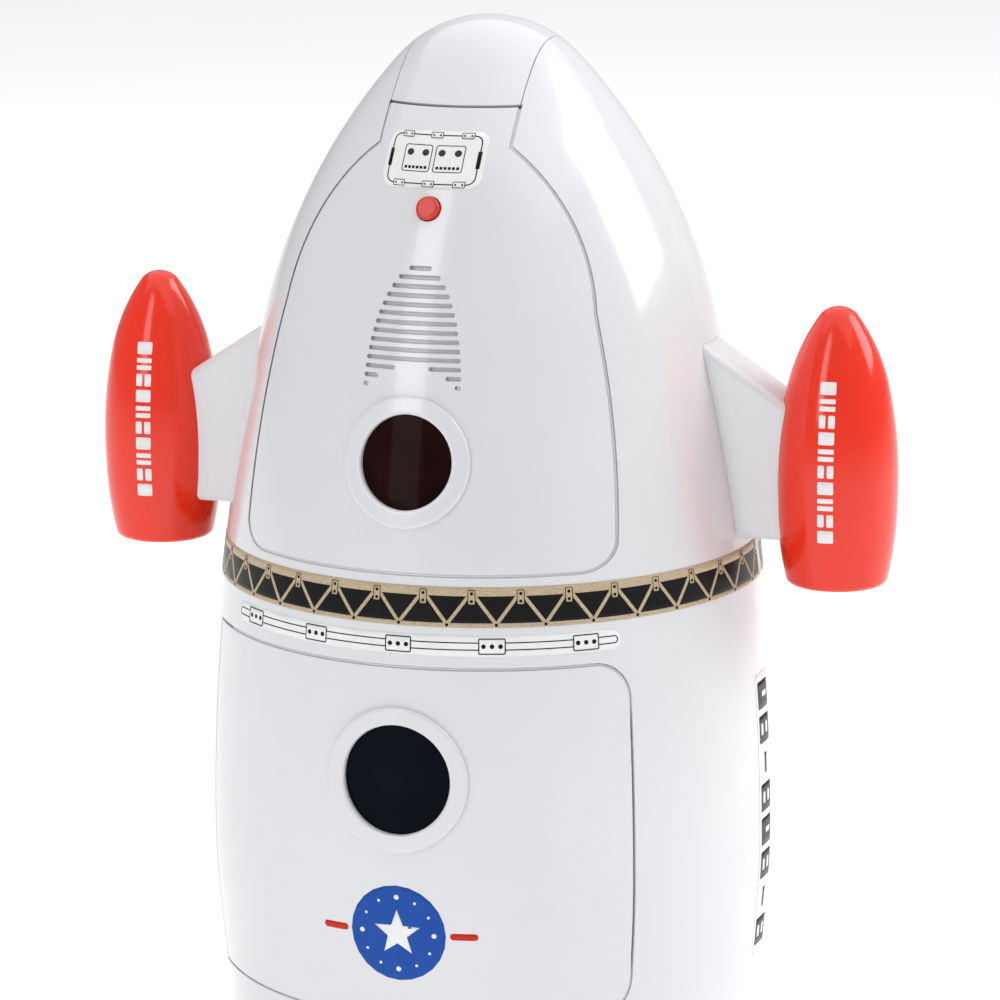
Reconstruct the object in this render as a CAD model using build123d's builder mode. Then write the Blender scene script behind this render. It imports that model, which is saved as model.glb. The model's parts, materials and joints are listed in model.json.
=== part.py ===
"""Toy rocket playset.

A white two-storey hull, round in plan, stands on a ring with rubber feet. The upper storey opens
with a canopy hinged at the nose, which carries the sound unit, and the lower storey opens with a
side-hung door. A fin on each side carries a side pod. Millimetres, +Z up, the front towards -Y,
the origin at the middle of the base.
"""
import os
from math import asin, cos, degrees, hypot, radians, sin, sqrt, tan

from build123d import *

os.makedirs("parts", exist_ok=True)

# Hull outline: arcs round the Z axis, each tangent to the next, and a straight taper below.
hull_radius = 110.0     # at the widest ring
widest_z = 140.5
side_arc = 828.0
side_turn = 13.74       # degrees that the side arc turns through
shoulder_arc = 226.0
shoulder_turn = 42.2    # degrees from level at which the nose arc takes over
knee_arc = 250.0        # under the widest ring
tail_slope = 5.0        # degrees of the taper
hull_foot_z = 30.0
wall = 2.0
seam = 0.3              # visible gap between fixed mouldings
lip = 1.5               # thickness of the lips that join fixed mouldings from inside
lip_reach = 6.0

# Decks, ring and feet
waist_z = 245.3
deck_thickness = 2.4
floor_z = 82.0
ring_foot_z = 7.0
ring_round = 6.0
ring_width = 8.0
base_plate_z = 9.5
base_plate_thickness = 2.4
foot_radius = 11.0
foot_circle = 74.0
foot_rim = 1.5
base_screw_circle = 87.0
base_boss_radius = 5.0
base_boss_height = 14.0

# Canopy
door_gap = 1.1          # seam round both doors
canopy_bottom_z = 257.3
canopy_top_z = 421.6
canopy_half_width = 72.6
canopy_corner = 10.0
canopy_flank = (68.2, 311.0)      # a point that the side passes through, X and Z
canopy_shoulder = (60.4, 349.0)   # where the side meets the shoulder
canopy_hip = (47.6, 384.0)        # a point that the shoulder passes through
tab_half_width = 25.4
tab_foot_z = 407.8

# Lower door
door_bottom_z = 88.1
door_top_z = 223.4
door_hinge_angle = -57.8          # degrees round from the front, towards +X
door_free_angle = 47.3
door_corner = 14.0

# Goose-neck hinges
pin_radius = 1.0
pin_clearance = 0.05
neck_clearance = 0.6
neck_width = 3.2
neck_stem = 2.8
neck_thickness = 4.0
boss_radius = 2.2
ear_thickness = 3.0
ear_clearance = 0.6
canopy_reach = 15.0
canopy_depth = 6.5
canopy_neck_x = 6.0
door_reach = 17.0
door_depth = 6.5
door_neck_z = (120.0, 198.0)

# Portholes: centre height, radius of the clear opening, radius of the ring
upper_window = (297.5, 17.5, 24.2)
lower_window = (181.3, 20.6, 27.2)
spigot_wall = 2.4
ring_proud = 1.9
ring_rounding = 1.2
lens_depth = 0.6
lens_thickness = 1.5
fit_gap = 0.1

# Grille over the speaker
slot_rows = 14
slot_pitch = 3.2
slot_height = 1.6
slot_top_z = 366.2
grille_half_width = 18.9
grille_height = 46.0
grille_lead = 1.2
grille_arch = 22.4      # radius of the plain arch above the upper porthole
grille_arch_z = 309.6
baffle_thickness = 0.8
baffle_margin = 1.8     # beyond the slots, on every side

# Sound unit, laid out on a plane that leans with the canopy
unit_z = 358.0
unit_lean = 22.0
unit_width = 50.0
unit_height = 76.0
unit_front = 12.0       # depths are measured inward from the plane
unit_back = 33.0
unit_wall = 1.6
post_x = 20.5
post_y = 33.5
post_radius = 3.5
pillar_radius = 4.2
screw_seat = 16.0
speaker_y = -13.0
speaker_radius = 18.0
speaker_flange = 1.4
basket_radius = 15.2
basket_depth = 5.4
magnet_radius = 9.0
magnet_depth = 24.0
cone_foot_radius = 5.0
cone_rim_radius = 14.6
cone_depth = 5.0
cone_paper = 0.5
well_wall = 3.0
cell_radius = 5.2
cell_length = 44.2
cell_rows = (12.6, 23.6)
cell_depth = 24.6
contact_thickness = 0.4

# Button and its switch
button_z = 386.7
button_radius = 4.4
button_clearance = 0.4
button_proud = 2.5
button_travel = 1.2
flange_radius = 5.6
flange_depth = 3.9
flange_thickness = 1.0
stem_radius = 1.6
stem_clearance = 0.35
plunger_lead = 0.7
plunger_length = 1.0
switch_front = 6.6
switch_size = 6.0
board_front = 9.9
board_thickness = 1.6
board_width = 32.0
board_height = 12.0
board_post_x = 12.0

# Power switch in the back of the sound unit
knob_width = 4.0
knob_height = 3.0
knob_travel = 4.0
knob_proud = 1.2
power_body_height = 4.0

# Fins
fin_thickness = 23.0
fin_wall = 2.0
fin_rounding = 3.0
fin_top_root = (84.0, 333.0)
fin_top_tip = (118.5, 310.5)
fin_tip_drop = 9.0      # further fall of the fin's top towards the pod's axis
fin_bottom_z = 257.5
fin_screw_z = (271.0, 299.0)
fin_boss_radius = 4.0
fin_seat = 0.6          # depth of the flat cut for each screw head inside the hull

# Side pods: the axis stands beside the hull
pod_x = 137.0
pod_base_z = 241.0
pod_widest_z = 273.0
pod_radius = 22.7
pod_top_z = 346.3
# Points of the pod's outline from the base up: radius, height, and the lean of its surface.
pod_outline = [
    (15.5, pod_base_z, 0),
    (18.4, 241.8, -50),
    (19.4, 243.9, -18),
    (21.4, 255.0, -8),
    (pod_radius, pod_widest_z, 0),
    (21.4, 303.0, 8),
    (18.7, 318.0, 17),
    (12.6, 334.0, 40),
]
pod_cap_radius = 9.5
pod_cap_turn = 45.0     # degrees from level at which the cap begins
pod_wall = 2.0
pod_plug_radius = 14.0
pod_screw_seat = 19.0

# Rear panel of the lower storey
panel_half_width = 60.0
panel_bottom_z = 50.0
panel_top_z = 230.0
panel_corner = 8.0
panel_rebate = 6.0
panel_screw_angle = 149.0
panel_screw_z = (62.0, 218.0)

# Screws
screw_radius = 1.25
screw_head_radius = 2.6
screw_head_height = 1.8
screw_length = 8.0
board_screw_length = 5.0
pilot_slack = 0.3       # depth of a blind pilot hole beyond its screw's tip
screw_boss = 4.0

FAR = 400.0             # longer than anything cut

# Centres of the hull's arcs, as radius and height, with the nose centred on the axis.
side_centre = (hull_radius - side_arc, widest_z)
side_end = (
    side_centre[0] + side_arc * cos(radians(side_turn)),
    side_centre[1] + side_arc * sin(radians(side_turn)),
)
shoulder_centre = (
    side_end[0] - shoulder_arc * cos(radians(side_turn)),
    side_end[1] - shoulder_arc * sin(radians(side_turn)),
)
nose_arc = (shoulder_centre[0] + shoulder_arc * cos(radians(shoulder_turn))) / cos(radians(shoulder_turn))
nose_centre_z = shoulder_centre[1] + (shoulder_arc - nose_arc) * sin(radians(shoulder_turn))
knee_centre = (hull_radius - knee_arc, widest_z)


def hull_radius_at(z, depth=0.0):
    """Radius at height z of the hull's surface moved inward by depth."""
    if z >= nose_centre_z + (nose_arc - depth) * sin(radians(shoulder_turn)):
        return sqrt((nose_arc - depth) ** 2 - (z - nose_centre_z) ** 2)
    if z >= shoulder_centre[1] + (shoulder_arc - depth) * sin(radians(side_turn)):
        return shoulder_centre[0] + sqrt((shoulder_arc - depth) ** 2 - (z - shoulder_centre[1]) ** 2)
    if z >= widest_z:
        return side_centre[0] + sqrt((side_arc - depth) ** 2 - (z - side_centre[1]) ** 2)
    knee_foot_z = widest_z - (knee_arc - depth) * sin(radians(tail_slope))
    if z >= knee_foot_z:
        return knee_centre[0] + sqrt((knee_arc - depth) ** 2 - (z - widest_z) ** 2)
    knee_foot_radius = knee_centre[0] + (knee_arc - depth) * cos(radians(tail_slope))
    return knee_foot_radius - (knee_foot_z - z) * tan(radians(tail_slope))


def hull_lean_at(z):
    """Degrees by which the hull's outward normal points up at height z."""
    if z >= nose_centre_z + nose_arc * sin(radians(shoulder_turn)):
        return degrees(asin((z - nose_centre_z) / nose_arc))
    if z >= side_end[1]:
        return degrees(asin((z - shoulder_centre[1]) / shoulder_arc))
    if z >= widest_z:
        return degrees(asin((z - widest_z) / side_arc))
    return -min(tail_slope, degrees(asin((widest_z - z) / knee_arc)))


def hull_body(depth):
    """The solid inside the hull's surface moved inward by depth, from the hull's foot to its nose."""
    foot_radius_here = hull_radius_at(hull_foot_z, depth)
    with BuildPart() as body:
        with BuildSketch(Plane.XZ):
            with BuildLine():
                CenterArc((0, nose_centre_z), nose_arc - depth, shoulder_turn, 90 - shoulder_turn)
                CenterArc(shoulder_centre, shoulder_arc - depth, side_turn, shoulder_turn - side_turn)
                CenterArc(side_centre, side_arc - depth, 0, side_turn)
                knee = CenterArc(knee_centre, knee_arc - depth, 0, -tail_slope)
                Polyline(
                    knee @ 1,
                    (foot_radius_here, hull_foot_z),
                    (0, hull_foot_z),
                    (0, nose_centre_z + nose_arc - depth),
                )
            make_face()
        revolve(axis=Axis.Z)
    return body.part


def surface_plane(angle, z):
    """Plane touching the hull at angle degrees round from the front: normal outward, X level."""
    turn = radians(angle)
    lean = radians(hull_lean_at(z))
    radius = hull_radius_at(z)
    return Plane(
        origin=(radius * sin(turn), -radius * cos(turn), z),
        x_dir=(cos(turn), sin(turn), 0),
        z_dir=(sin(turn) * cos(lean), -cos(turn) * cos(lean), sin(lean)),
    )


def canopy_block(grow):
    """What the canopy's outline cuts from the hull, grown by grow at every edge."""
    edge = surface_plane(0, canopy_top_z)
    seam_mid = Vector(hull_radius_at(canopy_top_z), canopy_top_z)
    outward = Vector(-edge.z_dir.Y, edge.z_dir.Z)
    upward = Vector(-edge.y_dir.Y, edge.y_dir.Z)
    top = seam_mid + upward * grow
    with BuildPart() as block:
        with BuildSketch(Plane.XZ):
            with BuildLine():
                side = ThreePointArc(
                    (canopy_half_width, canopy_bottom_z + canopy_corner / 2), canopy_flank, canopy_shoulder
                )
                shoulder = ThreePointArc(side @ 1, canopy_hip, (tab_half_width, tab_foot_z))
                Polyline(shoulder @ 1, (tab_half_width, FAR * 1.2), (0, FAR * 1.2))
                Polyline((0, canopy_bottom_z), (canopy_half_width, canopy_bottom_z), side @ 0)
                mirror(about=Plane.YZ)
            make_face()
            offset(amount=grow, kind=Kind.INTERSECTION)
        extrude(amount=FAR)
        corners = block.edges().filter_by(Axis.Y).group_by(Axis.Z)[0]
        fillet(corners, canopy_corner + grow)
        with BuildSketch(Plane.XZ):
            with BuildLine():
                Polyline(
                    (0, 0),
                    (FAR, 0),
                    (FAR, (top + outward * 40).Y),
                    ((top + outward * 40).X, (top + outward * 40).Y),
                    ((top - outward * 30).X, (top - outward * 30).Y),
                    (0, (top - outward * 30).Y),
                    close=True,
                )
            make_face()
        revolve(axis=Axis.Z, mode=Mode.INTERSECT)
    return block.part


def lower_door_block(grow):
    """What the lower door's outline cuts from the hull, grown by grow at every edge."""
    spread = degrees(grow / hull_radius)
    start = door_hinge_angle - spread - 90
    sweep = door_free_angle - door_hinge_angle + 2 * spread
    free = radians(door_free_angle + spread)
    free_direction = Vector(sin(free), -cos(free), 0)
    with BuildPart() as block:
        with BuildSketch(Plane.XY.offset(door_bottom_z - grow)):
            with BuildLine():
                near = CenterArc((0, 0), hull_radius * 0.6, start, sweep)
                far = CenterArc((0, 0), hull_radius * 1.4, start, sweep)
                Line(near @ 0, far @ 0)
                Line(near @ 1, far @ 1)
            make_face()
        extrude(amount=door_top_z - door_bottom_z + 2 * grow)
        corners = (
            block.edges()
            .filter_by(GeomType.LINE)
            .filter_by(lambda e: abs(e.tangent_at(0).Z) < 0.5)
            .filter_by(lambda e: e.center().normalized().dot(free_direction) > 0 and e.center().X > 0)
        )
        fillet(corners, door_corner + grow)
    return block.part


def panel_block(grow):
    """What the rear panel's outline cuts from the hull, grown by grow at every edge."""
    with BuildPart() as block:
        with BuildSketch(Plane.XZ):
            with Locations((0, (panel_bottom_z + panel_top_z) / 2)):
                RectangleRounded(
                    2 * (panel_half_width + grow),
                    panel_top_z - panel_bottom_z + 2 * grow,
                    panel_corner + grow,
                )
        extrude(amount=-FAR)
    return block.part


def pan_screw(length):
    """A pan-head screw with its head's underside at the origin and its shank along -Z."""
    with BuildPart() as screw:
        Cylinder(screw_head_radius, screw_head_height, align=(Align.CENTER, Align.CENTER, Align.MIN))
        fillet(screw.edges().group_by(Axis.Z)[-1], 0.7)
        for turn in (0, 90):
            with Locations(Location((0, 0, screw_head_height), (0, 0, turn))):
                Box(3.0, 0.7, 1.8, mode=Mode.SUBTRACT)
        Cylinder(screw_radius, length, align=(Align.CENTER, Align.CENTER, Align.MAX))
    return screw.part


def goose_neck(section, reach, depth):
    """A C-shaped door arm in the plane section, whose origin is on the pin. It passes under the
    hull's edge, which lies reach back along X and depth out along Y, and rises to the door."""
    inner = hypot(reach, depth) + neck_clearance
    outer = inner + neck_width
    with BuildPart() as arm:
        with BuildSketch(section):
            Circle(outer)
            Circle(inner, mode=Mode.SUBTRACT)
            with Locations((neck_stem / 2, 0)):
                Rectangle(FAR, FAR, align=(Align.MAX, Align.MAX), mode=Mode.INTERSECT)
            with Locations((-inner, 0)):
                Rectangle(neck_width, depth + wall, align=(Align.MAX, Align.MIN))
            Rectangle(neck_stem, inner + neck_width / 2, align=(Align.CENTER, Align.MAX))
            Circle(boss_radius)
            Circle(pin_radius + pin_clearance, mode=Mode.SUBTRACT)
        extrude(amount=neck_thickness / 2, both=True)
    return arm.part


def hinge_ear(section, depth):
    """A fixed ear in the plane section that holds the pin and rises to the hull's wall."""
    with BuildPart() as ear:
        with BuildSketch(section):
            Circle(boss_radius + 0.6)
            Rectangle(2 * (boss_radius + 0.6), depth + wall, align=(Align.CENTER, Align.MIN))
            Circle(pin_radius, mode=Mode.SUBTRACT)
        extrude(amount=ear_thickness / 2, both=True)
    return ear.part


def hinge_section(edge, outward, away, reach, depth):
    """Plane square to a hinge pin: origin on the pin, X away from the door, Y outward."""
    hull_edge = edge + away * (door_gap / 2)
    return Plane(
        origin=hull_edge + away * reach - outward * depth, x_dir=away, z_dir=away.cross(outward)
    )


# Shared solids: the hull's outside, its inside, the inside of its lips, and half a wall deep.
hull_outside = hull_body(0)
hull_inside = hull_body(wall)
lip_inside = hull_body(wall + lip)
half_wall = hull_body(wall / 2)
screw_shape = pan_screw(screw_length)
short_screw_shape = pan_screw(board_screw_length)

canopy_hinge = surface_plane(0, canopy_top_z)
canopy_section = hinge_section(
    canopy_hinge.origin, canopy_hinge.z_dir, canopy_hinge.y_dir, canopy_reach, canopy_depth
)
hinge_turn = radians(door_hinge_angle)
door_section = hinge_section(
    Vector(sin(hinge_turn), -cos(hinge_turn), 0) * hull_radius_at(door_neck_z[1]),
    Vector(sin(hinge_turn), -cos(hinge_turn), 0),
    Vector(-cos(hinge_turn), -sin(hinge_turn), 0),
    door_reach,
    door_depth,
)
ear_offset = neck_thickness / 2 + ear_clearance + ear_thickness / 2
unit_plane = Plane(
    origin=(0, -hull_radius_at(unit_z), unit_z),
    x_dir=(1, 0, 0),
    z_dir=(0, -cos(radians(unit_lean)), sin(radians(unit_lean))),
)
button_place = unit_plane.to_local_coords(Vector(0, -hull_radius_at(button_z), button_z))
fin_planes = {
    side: [
        Plane(
            origin=(side * (hull_radius_at(z, wall) + fin_seat), 0, z),
            x_dir=(0, 1, 0),
            z_dir=(-side, 0, 0),
        )
        for z in fin_screw_z
    ]
    for side in (1, -1)
}
panel_planes = [
    surface_plane(side * panel_screw_angle, z) for side in (1, -1) for z in panel_screw_z
]


base_screw_planes = [
    Plane(
        origin=(base_screw_circle * cos(turn), base_screw_circle * sin(turn), base_plate_z),
        z_dir=(0, 0, -1),
    )
    for turn in [radians(90 * quarter) for quarter in range(4)]
]


def unit_depth(depth):
    """The sound unit's plane moved inward by depth."""
    return unit_plane.offset(-depth)


def unit_back_plane(depth):
    """The same plane as unit_depth(depth), seen from behind: normal inward, Y down the canopy."""
    return Plane(origin=unit_depth(depth).origin, x_dir=(1, 0, 0), z_dir=-unit_plane.z_dir)


# ---------------------------------------------------------------- hull, upper storey
with BuildPart() as spine_zone:
    with Locations((0, 0, waist_z)):
        Box(2 * tab_half_width - seam, FAR, FAR, align=(Align.CENTER, Align.MIN, Align.MIN))
    with Locations((0, 0, tab_foot_z)):
        Box(2 * tab_half_width - seam, FAR, FAR, align=(Align.CENTER, Align.CENTER, Align.MIN))

with BuildPart() as spine_slot:
    with Locations((0, 0, waist_z)):
        Box(2 * tab_half_width + seam, FAR, FAR, align=(Align.CENTER, Align.MIN, Align.MIN))
    with Locations((0, 0, tab_foot_z)):
        Box(2 * tab_half_width + seam, FAR, FAR, align=(Align.CENTER, Align.CENTER, Align.MIN))

canopy_opening = canopy_block(door_gap / 2)
canopy_outline = canopy_block(-door_gap / 2)

with BuildPart() as upper_hull:
    add(hull_outside)
    add(hull_inside, mode=Mode.SUBTRACT)
    with Locations((0, 0, waist_z)):
        Box(FAR, FAR, FAR, align=(Align.CENTER, Align.CENTER, Align.MIN), mode=Mode.INTERSECT)
    add(canopy_opening, mode=Mode.SUBTRACT)
    add(spine_slot.part, mode=Mode.SUBTRACT)
    with Locations(*fin_planes[1], *fin_planes[-1]):
        Cylinder(screw_radius, 4 * wall, mode=Mode.SUBTRACT)
        Cylinder(
            screw_head_radius + fin_seat,
            screw_length,
            align=(Align.CENTER, Align.CENTER, Align.MIN),
            mode=Mode.SUBTRACT,
        )
upper_hull.part.label = "upper_hull"
export_step(upper_hull.part, "parts/upper_hull.step")

with BuildPart() as nose_spine:
    add(hull_outside)
    add(hull_inside, mode=Mode.SUBTRACT)
    add(spine_zone.part, mode=Mode.INTERSECT)
    add(canopy_opening, mode=Mode.SUBTRACT)
    lips = hull_inside - lip_inside
    with Locations((0, lip_reach, waist_z + 2 * lip_reach)):
        keep = Box(
            2 * (tab_half_width + lip_reach),
            FAR,
            FAR,
            align=(Align.CENTER, Align.MIN, Align.MIN),
            mode=Mode.PRIVATE,
        )
    add(lips & keep)
    for x in (-canopy_neck_x - ear_offset, canopy_neck_x + ear_offset):
        add(hinge_ear(canopy_section.offset(x), canopy_depth) & half_wall)
nose_spine.part.label = "nose_spine"
export_step(nose_spine.part, "parts/nose_spine.step")

# ---------------------------------------------------------------- decks
deck_z = waist_z - deck_thickness / 2
with BuildPart() as waist_deck:
    with Locations((0, 0, deck_z)):
        Box(FAR, FAR, deck_thickness, align=(Align.CENTER, Align.CENTER, Align.MIN))
    add(hull_inside, mode=Mode.INTERSECT)
    with Locations((0, 0, waist_z)):
        collar = Box(FAR, FAR, deck_thickness + 2 * lip_reach, mode=Mode.PRIVATE)
    add(lips & collar)
waist_deck.part.label = "waist_deck"
export_step(waist_deck.part, "parts/waist_deck.step")

with BuildPart() as lower_floor:
    with Locations((0, 0, floor_z)):
        Box(FAR, FAR, deck_thickness, align=(Align.CENTER, Align.CENTER, Align.MIN))
    add(hull_inside, mode=Mode.INTERSECT)
    with Locations((0, 0, floor_z)):
        collar = Box(
            FAR, FAR, 2 * lip_reach, align=(Align.CENTER, Align.CENTER, Align.MAX), mode=Mode.PRIVATE
        )
    add(lips & collar)
lower_floor.part.label = "lower_floor"
export_step(lower_floor.part, "parts/lower_floor.step")

# ---------------------------------------------------------------- hull, lower storey
with BuildPart() as panel_bosses:
    with Locations(*panel_planes):
        Cylinder(screw_boss, screw_length + wall, align=(Align.CENTER, Align.CENTER, Align.MAX))

with BuildPart() as lower_hull:
    add(hull_outside)
    add(hull_inside, mode=Mode.SUBTRACT)
    with Locations((0, 0, waist_z)):
        Box(FAR, FAR, FAR, align=(Align.CENTER, Align.CENTER, Align.MAX), mode=Mode.INTERSECT)
    add(lower_door_block(door_gap / 2), mode=Mode.SUBTRACT)
    add(panel_block(seam / 2), mode=Mode.SUBTRACT)
    frame = panel_block(panel_rebate) - panel_block(-panel_rebate)
    clear_of_floor = Box(FAR, FAR, 4 * lip_reach, mode=Mode.PRIVATE).moved(Location((0, 0, floor_z)))
    add((lips & frame) - clear_of_floor)
    add(panel_bosses.part & hull_inside)
    with Locations(*panel_planes):
        Cylinder(screw_radius, 4 * screw_length, mode=Mode.SUBTRACT)
    for z in door_neck_z:
        for offset_z in (-ear_offset, ear_offset):
            level = door_section.origin.Z
            ear = hinge_ear(door_section.offset(z + offset_z - level), door_depth)
            add(ear & half_wall)
lower_hull.part.label = "lower_hull"
export_step(lower_hull.part, "parts/lower_hull.step")

with BuildPart() as rear_panel:
    add(hull_outside)
    add(hull_inside, mode=Mode.SUBTRACT)
    add(panel_block(-seam / 2), mode=Mode.INTERSECT)
    with Locations(*panel_planes):
        Cylinder(screw_radius, 4 * screw_length, mode=Mode.SUBTRACT)
rear_panel.part.label = "rear_panel"
export_step(rear_panel.part, "parts/rear_panel.step")

with BuildPart() as panel_screws:
    with Locations(*panel_planes):
        add(screw_shape)
panel_screws.part.label = "panel_screws"
export_step(panel_screws.part, "parts/panel_screws.step")

# ---------------------------------------------------------------- doors


def window_cutter(window, extra=0.0):
    """Cylinder through the wall for a porthole's spigot, wider by extra."""
    centre_z, opening, _ = window
    with BuildPart() as cutter:
        with Locations(surface_plane(0, centre_z)):
            Cylinder(opening + spigot_wall + extra, 12 * wall)
    return cutter.part


def window_bezel(window):
    """Ring that stands proud of the door round a porthole, with a spigot through the wall."""
    centre_z, opening, ring = window
    place = surface_plane(0, centre_z)
    with BuildPart() as bezel:
        with Locations(place):
            Cylinder(ring, 12 * wall)
            Cylinder(opening, 12 * wall, mode=Mode.SUBTRACT)
        add(hull_body(-ring_proud), mode=Mode.INTERSECT)
        add(hull_outside, mode=Mode.SUBTRACT)
        rims = bezel.edges().filter_by(
            lambda e: abs(place.to_local_coords(e.center()).Z) < 12 * wall
            and hypot(e.position_at(0.3).X, e.position_at(0.3).Y)
            > hull_radius_at(e.position_at(0.3).Z, -ring_proud / 2)
        )
        fillet(rims, ring_rounding)
    with BuildPart() as spigot:
        with Locations(place):
            Cylinder(opening + spigot_wall - fit_gap, 12 * wall)
            Cylinder(opening, 12 * wall, mode=Mode.SUBTRACT)
        add(hull_outside, mode=Mode.INTERSECT)
        add(hull_inside, mode=Mode.SUBTRACT)
    return bezel.part + spigot.part


def window_lens(window):
    """Domed pane inside a porthole's spigot."""
    centre_z, opening, _ = window
    with BuildPart() as lens:
        with Locations(surface_plane(0, centre_z)):
            Cylinder(opening, 12 * wall)
        add(hull_body(lens_depth), mode=Mode.INTERSECT)
        add(hull_body(lens_depth + lens_thickness), mode=Mode.SUBTRACT)
    return lens.part


with BuildPart() as grille_slots:
    with BuildSketch(Plane.XZ):
        for row in range(slot_rows):
            drop = row * slot_pitch
            z = slot_top_z - drop
            rise = 1 - (drop + grille_lead) / grille_height
            half = grille_half_width * sqrt(1 - rise ** 2)
            inner = sqrt(max(grille_arch ** 2 - (z - grille_arch_z) ** 2, 0))
            if inner == 0:
                with Locations((0, z)):
                    SlotOverall(2 * half, slot_height)
            else:
                with Locations(((half + inner) / 2, z), (-(half + inner) / 2, z)):
                    SlotOverall(half - inner, slot_height)
    extrude(amount=FAR)

with BuildPart() as unit_posts:
    with Locations(unit_depth(unit_front)):
        with GridLocations(2 * post_x, 2 * post_y, 2, 2):
            Cylinder(post_radius, unit_front, align=(Align.CENTER, Align.CENTER, Align.MIN))
    with Locations(unit_depth(board_front)):
        with Locations((-board_post_x, button_place.Y), (board_post_x, button_place.Y)):
            Cylinder(post_radius - 1, board_front, align=(Align.CENTER, Align.CENTER, Align.MIN))

with BuildPart() as canopy_door:
    add(hull_outside)
    add(hull_inside, mode=Mode.SUBTRACT)
    add(canopy_outline, mode=Mode.INTERSECT)
    add(window_cutter(upper_window), mode=Mode.SUBTRACT)
    add(grille_slots.part, mode=Mode.SUBTRACT)
    with Locations(unit_plane):
        with Locations((0, button_place.Y)):
            Cylinder(button_radius + button_clearance, 8 * wall, mode=Mode.SUBTRACT)
    add(unit_posts.part & half_wall)
    with Locations(unit_depth(unit_front)):
        with GridLocations(2 * post_x, 2 * post_y, 2, 2):
            Cylinder(
                screw_radius,
                unit_front - screw_seat + screw_length + pilot_slack,
                align=(Align.CENTER, Align.CENTER, Align.MIN),
                mode=Mode.SUBTRACT,
            )
    with Locations(unit_depth(board_front)):
        with Locations((-board_post_x, button_place.Y), (board_post_x, button_place.Y)):
            Cylinder(
                screw_radius,
                board_screw_length - board_thickness + pilot_slack,
                align=(Align.CENTER, Align.CENTER, Align.MIN),
                mode=Mode.SUBTRACT,
            )
    for x in (-canopy_neck_x, canopy_neck_x):
        add(goose_neck(canopy_section.offset(x), canopy_reach, canopy_depth) & half_wall)
canopy_door.part.label = "canopy_door"
export_step(canopy_door.part, "parts/canopy_door.step")

with BuildPart() as lower_door:
    add(hull_outside)
    add(hull_inside, mode=Mode.SUBTRACT)
    add(lower_door_block(-door_gap / 2), mode=Mode.INTERSECT)
    add(window_cutter(lower_window), mode=Mode.SUBTRACT)
    for z in door_neck_z:
        section = door_section.offset(z - door_section.origin.Z)
        add(goose_neck(section, door_reach, door_depth) & half_wall)
lower_door.part.label = "lower_door"
export_step(lower_door.part, "parts/lower_door.step")

slot_foot_z = slot_top_z - (slot_rows - 1) * slot_pitch
with BuildPart() as grille_baffle:
    add(hull_inside)
    add(hull_body(wall + baffle_thickness), mode=Mode.SUBTRACT)
    with Locations((0, 0, slot_foot_z - baffle_margin)):
        Box(
            2 * (grille_half_width + baffle_margin),
            FAR,
            slot_top_z - slot_foot_z + 2 * baffle_margin,
            align=(Align.CENTER, Align.MAX, Align.MIN),
            mode=Mode.INTERSECT,
        )
    with Locations(unit_plane):
        with GridLocations(2 * post_x, 2 * post_y, 2, 2):
            Cylinder(post_radius + fit_gap, FAR, mode=Mode.SUBTRACT)
grille_baffle.part.label = "grille_baffle"
export_step(grille_baffle.part, "parts/grille_baffle.step")

for name, window in (("upper", upper_window), ("lower", lower_window)):
    bezel = window_bezel(window)
    bezel.label = f"{name}_bezel"
    export_step(bezel, f"parts/{name}_bezel.step")
    lens = window_lens(window)
    lens.label = f"{name}_lens"
    export_step(lens, f"parts/{name}_lens.step")

pin_overhang = ear_offset + ear_thickness / 2
with BuildPart() as canopy_hinge_pin:
    with BuildSketch(canopy_section.offset(-canopy_neck_x - pin_overhang)):
        Circle(pin_radius)
    extrude(amount=2 * (canopy_neck_x + pin_overhang))
canopy_hinge_pin.part.label = "canopy_hinge_pin"
export_step(canopy_hinge_pin.part, "parts/canopy_hinge_pin.step")

with BuildPart() as door_hinge_pin:
    with BuildSketch(door_section.offset(door_neck_z[0] - pin_overhang - door_section.origin.Z)):
        Circle(pin_radius)
    extrude(amount=door_neck_z[1] - door_neck_z[0] + 2 * pin_overhang)
door_hinge_pin.part.label = "door_hinge_pin"
export_step(door_hinge_pin.part, "parts/door_hinge_pin.step")

# ---------------------------------------------------------------- sound unit on the canopy
cell_bay_top = cell_rows[1] + cell_radius + fit_gap
cell_bay_foot = cell_rows[0] - cell_radius - fit_gap
inner_half_width = unit_width / 2 - unit_wall
inner_half_height = unit_height / 2 - unit_wall
cover_width = 2 * inner_half_width - 2
cover_height = cell_bay_top - cell_bay_foot
cover_y = (cell_bay_top + cell_bay_foot) / 2
tab_size = 2 * screw_boss
tab_y = cell_bay_top + tab_size / 2
well_radius = speaker_radius + 0.6


def cover_outline(grow):
    """Sketch on the sound unit's plane: the battery cover with its screw tab, grown by grow."""
    with BuildSketch(Plane.XY) as outline:
        with Locations((0, cover_y)):
            Rectangle(cover_width + 2 * grow, cover_height + 2 * grow)
        with Locations((0, cover_y)):
            Rectangle(
                tab_size + 2 * grow,
                tab_y + tab_size / 2 + grow - cover_y,
                align=(Align.CENTER, Align.MIN),
            )
    return outline.sketch


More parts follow.
